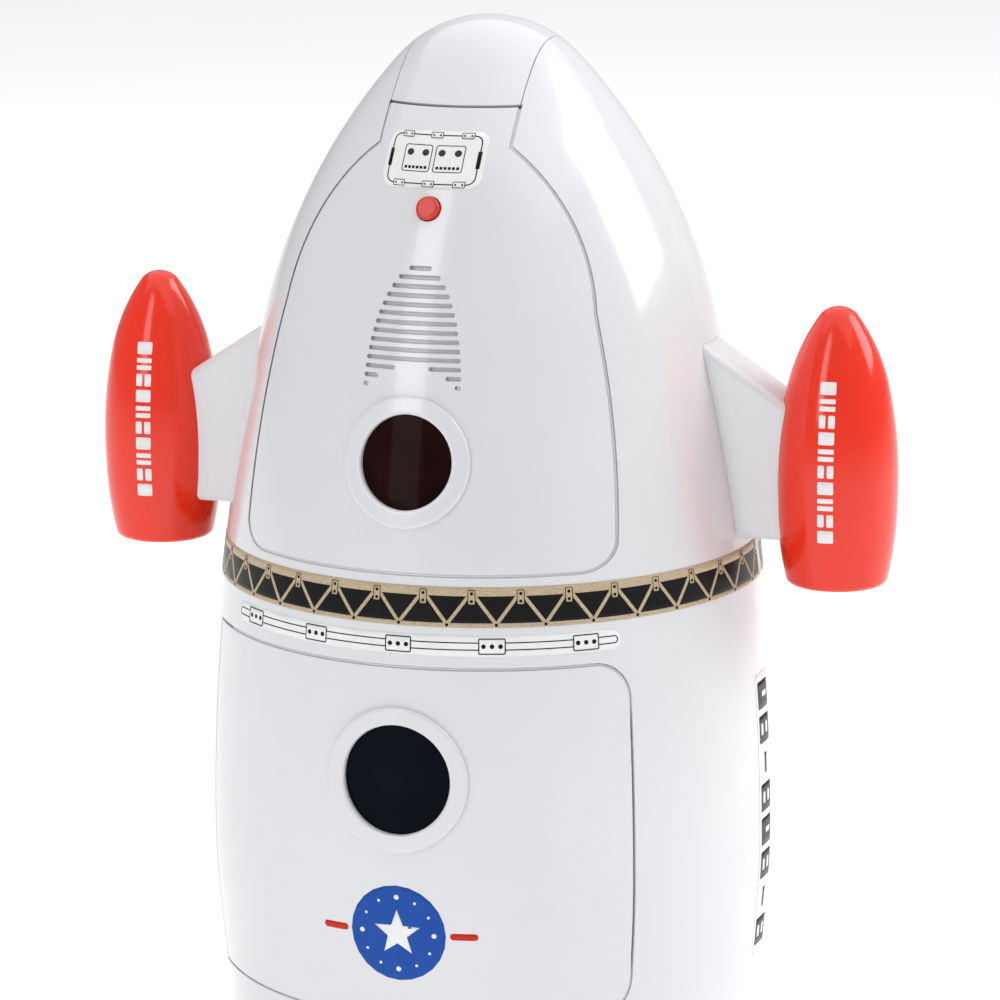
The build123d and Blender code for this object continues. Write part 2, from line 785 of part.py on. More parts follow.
with BuildPart() as sound_box:
    with BuildSketch(unit_depth(unit_back)):
        Rectangle(unit_width, unit_height)
    extrude(amount=unit_back - unit_front)
    with BuildSketch(unit_depth(unit_back - unit_wall)):
        Rectangle(2 * inner_half_width, 2 * inner_half_height)
    extrude(amount=unit_back, mode=Mode.SUBTRACT)
    with BuildSketch(unit_depth(unit_back)):
        with GridLocations(2 * post_x, 2 * post_y, 2, 2):
            Circle(pillar_radius)
        with Locations((0, speaker_y)):
            Circle(well_radius)
            Circle(well_radius - well_wall, mode=Mode.SUBTRACT)
    extrude(amount=unit_back - unit_front)
    with BuildSketch(unit_depth(unit_back)):
        with Locations((0, tab_y)):
            Rectangle(tab_size, tab_size)
    extrude(amount=unit_back - cell_depth + cell_radius)
    with BuildSketch(unit_depth(unit_back)):
        add(cover_outline(fit_gap))
    extrude(amount=unit_wall, mode=Mode.SUBTRACT)
    with BuildSketch(unit_depth(unit_back)):
        with Locations((0, speaker_y)):
            Rectangle(knob_width + knob_travel + 1, knob_height + 0.8)
        with Locations((0, tab_y)):
            Circle(screw_radius)
        with GridLocations(2 * post_x, 2 * post_y, 2, 2):
            Circle(screw_radius)
    extrude(amount=unit_back, mode=Mode.SUBTRACT)
    with BuildSketch(unit_depth(unit_back)):
        with GridLocations(2 * post_x, 2 * post_y, 2, 2):
            Circle(screw_head_radius + 0.4)
    extrude(amount=unit_back - screw_seat, mode=Mode.SUBTRACT)
sound_box.part.label = "sound_box"
export_step(sound_box.part, "parts/sound_box.step")

with BuildPart() as unit_screws:
    with Locations(unit_back_plane(screw_seat)):
        with GridLocations(2 * post_x, 2 * post_y, 2, 2):
            add(screw_shape)
unit_screws.part.label = "unit_screws"
export_step(unit_screws.part, "parts/unit_screws.step")

with BuildPart() as battery_cover:
    with BuildSketch(unit_depth(unit_back)):
        add(cover_outline(-fit_gap))
        with Locations((0, tab_y)):
            Circle(screw_radius, mode=Mode.SUBTRACT)
    extrude(amount=unit_wall)
battery_cover.part.label = "battery_cover"
export_step(battery_cover.part, "parts/battery_cover.step")

with BuildPart() as cover_screw:
    with Locations(unit_back_plane(unit_back)):
        with Locations((0, -tab_y)):
            add(screw_shape)
cover_screw.part.label = "cover_screw"
export_step(cover_screw.part, "parts/cover_screw.step")

with BuildPart() as battery_cells:
    with Locations(unit_depth(cell_depth)):
        with Locations(*[Location((0, y, 0), (0, 90, 0)) for y in cell_rows]):
            Cylinder(cell_radius, cell_length)
battery_cells.part.label = "battery_cells"
export_step(battery_cells.part, "parts/battery_cells.step")

with BuildPart() as battery_contacts:
    nub = inner_half_width - cell_length / 2
    ends = [
        Location((side * cell_length / 2, y, 0), (0, 90 * side, 0))
        for side in (-1, 1)
        for y in cell_rows
    ]
    with Locations(unit_depth(cell_depth)):
        with Locations(*ends):
            Cylinder(1.5, nub, align=(Align.CENTER, Align.CENTER, Align.MIN))
            with Locations((0, 0, nub)):
                Box(7, 7, contact_thickness, align=(Align.CENTER, Align.CENTER, Align.MAX))
battery_contacts.part.label = "battery_contacts"
export_step(battery_contacts.part, "parts/battery_contacts.step")

with BuildPart() as speaker_frame:
    with Locations(unit_depth(unit_front)):
        with Locations((0, speaker_y)):
            Cylinder(speaker_radius, speaker_flange, align=(Align.CENTER, Align.CENTER, Align.MIN))
            Cylinder(basket_radius, basket_depth, align=(Align.CENTER, Align.CENTER, Align.MAX))
            Cylinder(
                magnet_radius,
                magnet_depth - unit_front,
                align=(Align.CENTER, Align.CENTER, Align.MAX),
            )
        with Locations((0, speaker_y, speaker_flange)):
            Cone(
                cone_foot_radius,
                cone_rim_radius,
                cone_depth,
                align=(Align.CENTER, Align.CENTER, Align.MAX),
                mode=Mode.SUBTRACT,
            )
speaker_frame.part.label = "speaker_frame"
export_step(speaker_frame.part, "parts/speaker_frame.step")

with BuildPart() as speaker_cone:
    with Locations(unit_depth(unit_front)):
        with Locations((0, speaker_y, speaker_flange)):
            Cone(
                cone_foot_radius,
                cone_rim_radius,
                cone_depth,
                align=(Align.CENTER, Align.CENTER, Align.MAX),
            )
            Cone(
                cone_foot_radius,
                cone_rim_radius,
                cone_depth - cone_paper,
                align=(Align.CENTER, Align.CENTER, Align.MAX),
                mode=Mode.SUBTRACT,
            )
        with Locations((0, speaker_y, speaker_flange - cone_depth + cone_paper)):
            Cylinder(cone_foot_radius - 1, cone_paper, align=(Align.CENTER, Align.CENTER, Align.MIN))
speaker_cone.part.label = "speaker_cone"
export_step(speaker_cone.part, "parts/speaker_cone.step")

with BuildPart() as circuit_board:
    with Locations(unit_depth(board_front)):
        with Locations((0, button_place.Y)):
            Box(
                board_width,
                board_height,
                board_thickness,
                align=(Align.CENTER, Align.CENTER, Align.MAX),
            )
        with Locations((-board_post_x, button_place.Y), (board_post_x, button_place.Y)):
            Cylinder(screw_radius, 4 * board_thickness, mode=Mode.SUBTRACT)
circuit_board.part.label = "circuit_board"
export_step(circuit_board.part, "parts/circuit_board.step")

with BuildPart() as board_screws:
    with Locations(unit_back_plane(board_front + board_thickness)):
        with Locations((-board_post_x, -button_place.Y), (board_post_x, -button_place.Y)):
            add(short_screw_shape)
board_screws.part.label = "board_screws"
export_step(board_screws.part, "parts/board_screws.step")

with BuildPart() as tact_switch:
    with Locations(unit_depth(board_front)):
        with Locations((0, button_place.Y)):
            Box(
                switch_size,
                switch_size,
                board_front - switch_front,
                align=(Align.CENTER, Align.CENTER, Align.MIN),
            )
    with Locations(unit_depth(switch_front)):
        with Locations((0, button_place.Y)):
            Cylinder(
                stem_radius + stem_clearance,
                plunger_length + button_travel,
                align=(Align.CENTER, Align.CENTER, Align.MAX),
                mode=Mode.SUBTRACT,
            )
tact_switch.part.label = "tact_switch"
export_step(tact_switch.part, "parts/tact_switch.step")

with BuildPart() as switch_plunger:
    with Locations(unit_depth(switch_front - plunger_lead)):
        with Locations((0, button_place.Y)):
            Cylinder(
                stem_radius,
                plunger_length + plunger_lead,
                align=(Align.CENTER, Align.CENTER, Align.MAX),
            )
switch_plunger.part.label = "switch_plunger"
export_step(switch_plunger.part, "parts/switch_plunger.step")

with BuildPart() as button_cap:
    with Locations(unit_plane):
        with Locations((0, button_place.Y, button_place.Z + button_proud)):
            Cylinder(
                button_radius,
                button_place.Z + button_proud + flange_depth,
                align=(Align.CENTER, Align.CENTER, Align.MAX),
            )
    fillet(button_cap.edges().sort_by(Axis(unit_plane.origin, unit_plane.z_dir))[-1], 1.2)
    with Locations(unit_depth(flange_depth)):
        with Locations((0, button_place.Y)):
            Cylinder(flange_radius, flange_thickness, align=(Align.CENTER, Align.CENTER, Align.MAX))
            Cylinder(
                stem_radius,
                switch_front - plunger_lead - flange_depth,
                align=(Align.CENTER, Align.CENTER, Align.MAX),
            )
button_cap.part.label = "button_cap"
export_step(button_cap.part, "parts/button_cap.step")

with BuildPart() as power_switch_body:
    with Locations(unit_depth(unit_back - unit_wall)):
        with Locations((0, speaker_y)):
            Box(
                knob_width + knob_travel + 4,
                knob_height + 4,
                power_body_height,
                align=(Align.CENTER, Align.CENTER, Align.MIN),
            )
            Box(
                knob_width + knob_travel + 1,
                knob_height + 0.8,
                power_body_height - 1,
                align=(Align.CENTER, Align.CENTER, Align.MIN),
                mode=Mode.SUBTRACT,
            )
power_switch_body.part.label = "power_switch_body"
export_step(power_switch_body.part, "parts/power_switch_body.step")

with BuildPart() as power_knob:
    with Locations(unit_depth(unit_back + knob_proud)):
        with Locations((-knob_travel / 2, speaker_y)):
            Box(
                knob_width,
                knob_height,
                knob_proud + unit_wall + power_body_height / 2,
                align=(Align.CENTER, Align.CENTER, Align.MIN),
            )
power_knob.part.label = "power_knob"
export_step(power_knob.part, "parts/power_knob.step")

# ---------------------------------------------------------------- side pods and fins


def pod_body(side, inset):
    """Solid inside the pod's surface moved inward by inset."""
    base, heel, skirt, belly, widest, upper, shoulder, tip = [
        (radius - inset * cos(radians(lean)), height - inset * sin(radians(lean)))
        for radius, height, lean in pod_outline
    ]
    foot_z = pod_base_z + inset
    with BuildPart() as body:
        with BuildSketch(Plane.XZ):
            with BuildLine():
                ThreePointArc((base[0], foot_z), heel, skirt)
                ThreePointArc(skirt, belly, widest)
                ThreePointArc(widest, upper, shoulder)
                cap = CenterArc(
                    (0, pod_top_z - pod_cap_radius),
                    pod_cap_radius - inset,
                    pod_cap_turn,
                    90 - pod_cap_turn,
                )
                ThreePointArc(shoulder, tip, cap @ 0)
                Polyline(cap @ 1, (0, foot_z), (base[0], foot_z))
            make_face()
        revolve(axis=Axis.Z)
    return body.part.moved(Location((side * pod_x, 0, 0)))


for side, name in ((1, "right"), (-1, "left")):
    side_screws = fin_planes[side]
    pod_outside = pod_body(side, 0)
    pod_inside = pod_body(side, pod_wall)
    pod_jacket = pod_body(side, -fin_wall)
    pod_screws_at = [
        Plane(
            origin=(side * (pod_x - pod_screw_seat), 0, z), x_dir=(0, 1, 0), z_dir=(side, 0, 0)
        )
        for z in fin_screw_z
    ]
    fin_outline = [
        (side * fin_top_root[0], fin_top_root[1]),
        (side * fin_top_tip[0], fin_top_tip[1]),
        (side * pod_x, fin_top_tip[1] - fin_tip_drop),
        (side * pod_x, fin_bottom_z),
        (side * fin_top_root[0], fin_bottom_z),
    ]

    with BuildPart() as fin:
        with BuildSketch(Plane.XZ):
            Polygon(*fin_outline, align=None)
        extrude(amount=fin_thickness / 2, both=True)
        rims = fin.edges().filter_by(Axis.Y, reverse=True)
        fillet(rims.filter_by(lambda e: 0.1 < abs(e.tangent_at(0).X)), fin_rounding)
        with BuildSketch(Plane.XZ):
            Polygon(*fin_outline, align=None)
            offset(amount=-fin_wall, kind=Kind.INTERSECTION)
        hollow = extrude(amount=fin_thickness / 2 - fin_wall, both=True, mode=Mode.PRIVATE)
        add(hollow - pod_jacket, mode=Mode.SUBTRACT)
        with Locations(*side_screws):
            Cylinder(
                fin_boss_radius, pod_x - hull_radius, align=(Align.CENTER, Align.CENTER, Align.MAX)
            )
        add(pod_outside, mode=Mode.SUBTRACT)
        add(hull_outside, mode=Mode.SUBTRACT)
        with Locations(*side_screws):
            Cylinder(screw_radius, FAR, mode=Mode.SUBTRACT)
    fin.part.label = f"{name}_fin"
    export_step(fin.part, f"parts/{name}_fin.step")

    with BuildPart() as pod_hollow:
        add(pod_inside)
        with Locations(*pod_screws_at):
            Cylinder(
                screw_boss,
                pod_radius,
                align=(Align.CENTER, Align.CENTER, Align.MAX),
                mode=Mode.SUBTRACT,
            )

    with BuildPart() as pod:
        add(pod_outside)
        add(pod_hollow.part, mode=Mode.SUBTRACT)
        with Locations((side * pod_x, 0, pod_base_z)):
            Cylinder(pod_plug_radius + fit_gap, 4 * pod_wall, mode=Mode.SUBTRACT)
        with Locations(*pod_screws_at):
            Cylinder(screw_radius, 2 * screw_length, mode=Mode.SUBTRACT)
    pod.part.label = f"{name}_pod"
    export_step(pod.part, f"parts/{name}_pod.step")

    with BuildPart() as pod_base:
        with Locations((side * pod_x, 0, pod_base_z)):
            Cylinder(pod_plug_radius, pod_wall, align=(Align.CENTER, Align.CENTER, Align.MIN))
    pod_base.part.label = f"{name}_pod_base"
    export_step(pod_base.part, f"parts/{name}_pod_base.step")

    with BuildPart() as fin_screws:
        with Locations(*side_screws):
            add(screw_shape)
    fin_screws.part.label = f"{name}_fin_screws"
    export_step(fin_screws.part, f"parts/{name}_fin_screws.step")

    with BuildPart() as pod_screws:
        with Locations(*pod_screws_at):
            add(screw_shape)
    pod_screws.part.label = f"{name}_pod_screws"
    export_step(pod_screws.part, f"parts/{name}_pod_screws.step")

# ---------------------------------------------------------------- base
ring_top_radius = hull_radius_at(hull_foot_z)
ring_foot_radius = ring_top_radius - (hull_foot_z - ring_foot_z) * tan(radians(tail_slope))
with BuildPart() as base_ring:
    with BuildSketch(Plane.XZ) as ring_section:
        Polygon(
            (ring_top_radius, hull_foot_z - seam),
            (ring_foot_radius, ring_foot_z),
            (ring_foot_radius - ring_width, ring_foot_z),
            (ring_foot_radius - ring_width, hull_foot_z - seam),
            align=None,
        )
        fillet(ring_section.vertices().group_by(Axis.Y)[0].sort_by(Axis.X)[-1], ring_round)
    revolve(axis=Axis.Z)
    with BuildSketch(Plane.XZ):
        with Locations((ring_foot_radius - ring_width, hull_foot_z + lip_reach)):
            Rectangle(lip, hull_foot_z - ring_foot_z, align=(Align.MIN, Align.MAX))
    revolve(axis=Axis.Z)
    with Locations(*base_screw_planes):
        Cylinder(base_boss_radius, base_boss_height, align=(Align.CENTER, Align.CENTER, Align.MAX))
    with Locations((0, 0, base_plate_z)):
        Cylinder(
            ring_foot_radius - ring_width,
            base_plate_thickness,
            align=(Align.CENTER, Align.CENTER, Align.MIN),
            mode=Mode.SUBTRACT,
        )
    with Locations(*base_screw_planes):
        Cylinder(screw_radius, 4 * screw_length, mode=Mode.SUBTRACT)
base_ring.part.label = "base_ring"
export_step(base_ring.part, "parts/base_ring.step")

with BuildPart() as base_plate:
    with Locations((0, 0, base_plate_z)):
        Cylinder(
            ring_foot_radius - ring_width - fit_gap,
            base_plate_thickness,
            align=(Align.CENTER, Align.CENTER, Align.MIN),
        )
    with Locations(*base_screw_planes):
        Cylinder(screw_radius, 4 * screw_length, mode=Mode.SUBTRACT)
base_plate.part.label = "base_plate"
export_step(base_plate.part, "parts/base_plate.step")

with BuildPart() as base_screws:
    with Locations(*base_screw_planes):
        add(screw_shape)
base_screws.part.label = "base_screws"
export_step(base_screws.part, "parts/base_screws.step")

with BuildPart() as rubber_feet:
    with PolarLocations(foot_circle, 4, start_angle=45):
        Cylinder(foot_radius, base_plate_z, align=(Align.CENTER, Align.CENTER, Align.MIN))
    Cylinder(foot_radius, base_plate_z, align=(Align.CENTER, Align.CENTER, Align.MIN))
    fillet(rubber_feet.edges().group_by(Axis.Z)[0], foot_rim)
rubber_feet.part.label = "rubber_feet"
export_step(rubber_feet.part, "parts/rubber_feet.step")
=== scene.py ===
"""Toy rocket playset: finishes for the moulded parts, printed stickers and a small studio.

The mouldings, doors, hinges and sound unit come from the CAD frame and keep their places. This
file gives them their plastics and metals, lays the stickers on the hull and the pods, and sets a
pale floor, soft lights and a camera. Metres, +Z up, the front towards -Y.
"""
import json
from math import asin, atan2, cos, hypot, pi, radians, sin

import bmesh
import bpy
from bpy.props import BoolProperty, FloatProperty, FloatVectorProperty, IntProperty, PointerProperty
from mathutils import Matrix, Vector
from mathutils.bvhtree import BVHTree


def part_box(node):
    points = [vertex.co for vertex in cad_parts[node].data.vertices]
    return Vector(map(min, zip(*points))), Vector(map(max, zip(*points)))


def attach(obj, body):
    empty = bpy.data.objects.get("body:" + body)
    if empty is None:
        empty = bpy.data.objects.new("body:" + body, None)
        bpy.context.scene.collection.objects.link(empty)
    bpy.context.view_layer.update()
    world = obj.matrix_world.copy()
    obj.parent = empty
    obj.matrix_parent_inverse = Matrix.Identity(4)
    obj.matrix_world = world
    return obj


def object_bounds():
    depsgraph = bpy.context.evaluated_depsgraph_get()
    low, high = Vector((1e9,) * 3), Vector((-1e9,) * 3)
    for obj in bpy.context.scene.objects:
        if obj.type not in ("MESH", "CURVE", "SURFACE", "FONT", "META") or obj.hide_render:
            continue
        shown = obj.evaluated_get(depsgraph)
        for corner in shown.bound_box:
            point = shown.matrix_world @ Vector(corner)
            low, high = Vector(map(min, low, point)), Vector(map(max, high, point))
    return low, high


bl_info = {
    "name": "Toy rocket playset",
    "version": (1, 0, 0),
    "blender": (4, 5, 0),
    "location": "3D View > Sidebar > Rocket",
    "description": "Plastics, stickers and studio for a toy rocket with opening doors",
    "category": "Object",
}

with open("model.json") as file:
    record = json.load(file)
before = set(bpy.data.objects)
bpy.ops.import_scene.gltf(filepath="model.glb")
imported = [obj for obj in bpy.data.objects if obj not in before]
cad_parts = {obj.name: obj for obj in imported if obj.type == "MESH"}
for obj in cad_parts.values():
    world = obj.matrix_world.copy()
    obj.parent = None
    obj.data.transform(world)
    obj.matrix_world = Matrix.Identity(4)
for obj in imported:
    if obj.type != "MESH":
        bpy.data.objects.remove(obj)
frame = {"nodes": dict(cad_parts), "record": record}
cad_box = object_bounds()

MM = 0.001
HULL = ("upper_hull", "lower_hull", "nose_spine", "canopy_door", "lower_door")
PODS = ("left_pod", "right_pod")
# How far each layer of a sticker stands off the plastic.
BACKING, PRINT, OVERPRINT, RIM, DOTS = 0.10 * MM, 0.14 * MM, 0.18 * MM, 0.21 * MM, 0.22 * MM
FILM = 0.07 * MM
CHORD = 2.0 * MM  # longest chord of a sticker's mesh
CORNER_CUTS = 6


# ------------------------------------------------------------------ properties


def length_prop(name, millimetres, text):
    return FloatProperty(
        name=name, description=text, unit="LENGTH", subtype="DISTANCE", default=millimetres * MM
    )


def angle_prop(name, degrees, text):
    return FloatProperty(
        name=name, description=text, unit="ROTATION", subtype="ANGLE", default=radians(degrees)
    )


def colour_prop(name, value, text):
    return FloatVectorProperty(
        name=name, description=text, subtype="COLOR", default=value, min=0, max=1
    )


def place_prop(name, across, up, text):
    """A place seen from the front, in millimetres across and up."""
    return FloatVectorProperty(
        name=name, description=text, size=2, unit="LENGTH", default=(across * MM, up * MM)
    )


class RocketFinish(bpy.types.PropertyGroup):
    """Colours and gloss of the plastics."""

    shell: colour_prop("Shell", (0.76, 0.765, 0.785), "White of the hull, doors and fins")
    pods: colour_prop("Pods", (0.90, 0.034, 0.012), "Orange red of the side pods")
    button: colour_prop("Button", (0.72, 0.030, 0.016), "Red of the push button")
    # Both pane colours are partly the acrylic's tint and partly painted shade of the unlit cabin behind
    # each porthole.
    upper_pane: colour_prop("Upper pane", (0.016, 0.0042, 0.0046), "Smoked red of the upper porthole")
    lower_pane: colour_prop("Lower pane", (0.0030, 0.0050, 0.0085), "Smoked blue of the lower porthole")
    inner: colour_prop("Inner plastic", (0.42, 0.42, 0.43), "Grey of the sound unit and base plate")
    gloss: FloatProperty(
        name="Roughness", description="Roughness of the polished mouldings", subtype="FACTOR",
        default=0.16, min=0, max=1,
    )
    edge: FloatProperty(
        name="Edge softness", description="Radius that light catches along moulded edges",
        subtype="DISTANCE", unit="LENGTH", default=0.45 * MM, min=0, max=2 * MM,
    )


class RocketSeams(bpy.types.PropertyGroup):
    """The hull's lip that shows at the foot of the door seams."""

    width: length_prop("Width", 0.9, "Width of the lip that shows")
    canopy_width: length_prop("Canopy lip", 1.25, "Width of the lip at the canopy's seam")
    depth: length_prop("Depth", 0.55, "Depth of the lip under the skin")
    thickness: length_prop("Thickness", 1.2, "Thickness of the lip")
    canopy_foot: length_prop("Canopy foot", 257.3, "Height of the canopy's lower seam")
    canopy_half: length_prop("Canopy half width", 72.6, "Half the canopy's width at its foot")
    canopy_flank: place_prop("Canopy flank", 68.2, 311.0, "A point of the canopy's side, across and up")
    canopy_shoulder: place_prop(
        "Canopy shoulder", 60.4, 349.0, "Where the side meets the shoulder, across and up"
    )
    canopy_hip: place_prop("Canopy hip", 47.6, 384.0, "A point of the canopy's shoulder, across and up")
    tab_foot: place_prop(
        "Tab foot", 25.4, 407.8, "Where the shoulder meets the canopy's tab, across and up"
    )
    tab_top: length_prop("Tab top", 420.6, "Height at which the lip ends")
    canopy_corner: length_prop("Canopy corner", 10.0, "Radius of the canopy's lower corners")
    door_foot: length_prop("Door foot", 88.1, "Height of the lower door's lower seam")
    door_top: length_prop("Door top", 223.4, "Height of the lower door's upper seam")
    door_free: angle_prop("Door free side", 47.3, "Turn from the front to the door's free side")
    door_near: angle_prop("Lip's start", -50, "Turn at which the lip starts, clear of the hinges")
    door_corner: length_prop("Door corner", 14.0, "Radius of the door's free corners")
    door_girth: length_prop("Door girth", 105.0, "Radius of the hull at the door's corners")


class RocketWaist(bpy.types.PropertyGroup):
    """The girder strip round the waist."""

    foot: length_prop("Lower edge", 238.8, "Height of the strip's lower edge")
    top: length_prop("Upper edge", 253.6, "Height of the strip's upper edge")
    bays: IntProperty(name="Bays", description="Girder bays round the hull", default=36, min=8)
    upper_beam: length_prop("Upper beam", 3.3, "Height of the upper beam")
    lower_beam: length_prop("Lower beam", 1.6, "Height of the lower beam")
    brace: length_prop("Brace", 1.3, "Width of the slanting braces")
    joint_turn: angle_prop("Overlap", 97, "Where the strip's end laps over its start")


class RocketRail(bpy.types.PropertyGroup):
    """The rail strip under the waist."""

    height: length_prop("Height", 232.0, "Height of the rail's middle")
    reach: angle_prop("Reach", 45.7, "Turn from the front to each end")
    width: length_prop("Width", 7.6, "Width of the strip's backing")
    gauge: length_prop("Gauge", 2.6, "Distance between the two lines")
    plates: IntProperty(name="Plates", description="Plates along the rail", default=5, min=1)
    spacing: angle_prop("Spacing", 19.1, "Turn from one plate to the next")


class RocketLabels(bpy.types.PropertyGroup):
    """The canopy's instrument label, the door's badge, and the marks on the side and pods."""

    panel_height: length_prop("Instrument label", 403.5, "Height of the label's middle")
    panel_turn: angle_prop("Label's turn", -1.7, "Turn from the front to the label's middle")
    panel_width: length_prop("Label width", 39.8, "Width of the instrument label")
    panel_tall: length_prop("Label height", 23.3, "Height of the instrument label")
    badge_height: length_prop("Badge", 122.6, "Height of the badge's middle")
    badge_radius: length_prop("Badge radius", 18.6, "Radius of the blue disc")
    side_height: length_prop("Side mark", 148.5, "Height of the side mark's middle")
    side_turn: angle_prop("Side mark's turn", 90, "Turn from the front to the side mark")
    side_long: length_prop("Side mark's length", 111.0, "Length of the side mark")
    side_cells: IntProperty(name="Side mark's cells", description="Bars along it", default=8, min=1)
    pod_height: length_prop("Pod marks", 291.0, "Height of the pod marks' middle")
    pod_long: length_prop("Pod marks' length", 62.0, "Length of the pod marks")
    pod_turn: angle_prop("Pod marks' turn", 3.5, "Turn from the front to the pod marks")
    pod_cells: IntProperty(name="Pod marks' cells", description="Blocks along them", default=10, min=1)


class RocketStudio(bpy.types.PropertyGroup):
    """Camera, floor and lights."""

    azimuth: angle_prop("Azimuth", 19.4, "Camera's turn round the rocket")
    elevation: angle_prop("Elevation", 12.51, "Camera's height above level")
    distance: FloatProperty(
        name="Distance", description="From the camera to the rocket's axis", unit="LENGTH",
        subtype="DISTANCE", default=1.792,
    )
    aim: FloatProperty(
        name="Aim", description="Height that the camera points at", unit="LENGTH",
        subtype="DISTANCE", default=0.2634,
    )
    lens: FloatProperty(name="Lens", description="Focal length", unit="CAMERA", default=167.8)
    roll: angle_prop("Roll", -0.43, "Camera's lean to one side")
    sideways: FloatProperty(
        name="Shift", description="Camera's sideways shift, as a share of the frame",
        default=0.0076,
    )
    floor: FloatProperty(
        name="Floor", description="Radius of the floor", unit="LENGTH", subtype="DISTANCE", default=9.0
    )
    room: FloatProperty(
        name="Room light", description="Strength of the even light from all round", default=0.38,
        min=0,
    )
    soft_shadows: BoolProperty(
        name="Soft shadows", description="Large lamps in place of small ones", default=True
    )


# ------------------------------------------------------------------ shader maths


class Signal:
    """A socket in a material's nodes. Arithmetic on signals adds the nodes that work it out."""

    def __init__(self, tree, socket):
        self.tree = tree
        self.socket = socket

    @staticmethod
    def of(tree, kind, settings=None, inputs=None, output=0):
        """Adds a node, sets it up, fills its sockets with numbers or signals, and gives one output."""
        node = tree.nodes.new(kind)
        for name, value in (settings or {}).items():
            setattr(node, name, value)
        for name, value in (inputs or {}).items():
            if isinstance(value, Signal):
                tree.links.new(value.socket, node.inputs[name])
            else:
                node.inputs[name].default_value = value
        return Signal(tree, node.outputs[output])

    def maths(self, operation, *values):
        return Signal.of(
            self.tree, "ShaderNodeMath", {"operation": operation}, dict(enumerate(values))
        )

    def __add__(self, other):
        return self.maths("ADD", self, other)

    def __radd__(self, other):
        return self.maths("ADD", other, self)

    def __sub__(self, other):
        return self.maths("SUBTRACT", self, other)

    def __rsub__(self, other):
        return self.maths("SUBTRACT", other, self)

    def __mul__(self, other):
        return self.maths("MULTIPLY", self, other)

    def __rmul__(self, other):
        return self.maths("MULTIPLY", other, self)

    def __truediv__(self, other):
        return self.maths("DIVIDE", self, other)

    def __rtruediv__(self, other):
        return self.maths("DIVIDE", other, self)

    def __gt__(self, other):
        return self.maths("GREATER_THAN", self, other)

    def __lt__(self, other):
        return self.maths("LESS_THAN", self, other)


class Finish:
    """A material with one shader, built from noise in the part's own coordinates."""

    def __init__(self, name):
        self.material = bpy.data.materials.new(name)
        self.material.use_nodes = True
        self.tree = self.material.node_tree
        self.shader = self.tree.nodes["Principled BSDF"]
        self.place = self.node("ShaderNodeTexCoord", output="Object")

    def node(self, kind, settings=None, inputs=None, output=0):
        return Signal.of(self.tree, kind, settings, inputs, output)

    def noise(self, scale, detail=2.0, place=None):
        """Soft noise between 0 and 1, scale lumps to the metre."""
        return self.node(
            "ShaderNodeTexNoise", {},
            {"Vector": place or self.place, "Scale": scale, "Detail": detail},
        )

    def spread(self, signal, low, high, to_low=0.0, to_high=1.0):
        """The signal's stretch from low to high, spread over to_low to to_high and held there."""
        return self.node(
            "ShaderNodeMapRange", {"clamp": True}, {0: signal, 1: low, 2: high, 3: to_low, 4: to_high}
        )

    def blend(self, share, first, second):
        """A colour between two, by share."""
        return self.node(
            "ShaderNodeMix", {"data_type": "RGBA"},
            {0: share, 6: colour4(first), 7: colour4(second)}, output=2,
        )

    def stretched(self, x, y, z):
        """The part's coordinates scaled along each axis."""
        return self.node(
            "ShaderNodeVectorMath", {"operation": "MULTIPLY"}, {0: self.place, 1: (x, y, z)}
        )

    def axis(self, name):
        return self.node("ShaderNodeSeparateXYZ", {}, {0: self.place}, output=name)

    def relief(self, height, depth, normal=None):
        """The surface normal with height's bumps, depth metres deep."""
        inputs = {"Height": height, "Strength": 1.0, "Distance": depth}
        if normal is not None:
            inputs["Normal"] = normal
        return self.node("ShaderNodeBump", {}, inputs)

    def eased(self, radius):
        """Normals that turn smoothly over edges, as moulded edges do."""
        return self.node("ShaderNodeBevel", {"samples": 4}, {"Radius": radius})

    def set(self, **sockets):
        """Sets the shader's sockets, by name with underscores for spaces."""
        for name, value in sockets.items():
            socket = self.shader.inputs[name.replace("_", " ")]
            if isinstance(value, Signal):
                self.tree.links.new(value.socket, socket)
            else:
                socket.default_value = value
        return self.material


def colour4(value):
    """A colour with its alpha, or a signal as it is."""
    return value if isinstance(value, Signal) else (*value[:3], 1.0)


def shade(colour, share):
    return tuple(share * part for part in colour[:3])


# ------------------------------------------------------------------ finishes


def polished_plastic(name, colour, gloss, edge, tint=0.97, coat=0.35):
    """Bright moulded plastic: a faint cloud in its colour, fine ripple, and wiped patches."""
    made = Finish(name)
    cloud = made.spread(made.noise(14.0, 3.0), 0.35, 0.65)
    speck = made.noise(2600.0, 1.0) > 0.735
    tone = made.blend(cloud, shade(colour, tint), colour)
    tone = made.blend(speck * 0.10, tone, shade(colour, 0.55))
    wiped = made.spread(made.noise(38.0, 4.0, made.stretched(1.0, 1.0, 0.35)), 0.4, 0.75)
    ripple = made.noise(150.0, 1.0) * 0.7 + made.noise(900.0, 1.0) * 0.3
    return made.set(
        Base_Color=tone,
        Roughness=wiped * 0.07 + gloss,
        Coat_Weight=coat,
        Coat_Roughness=0.05,
        Specular_IOR_Level=0.5,
        Normal=made.relief(ripple, 0.012 * MM, made.eased(edge)),
    )


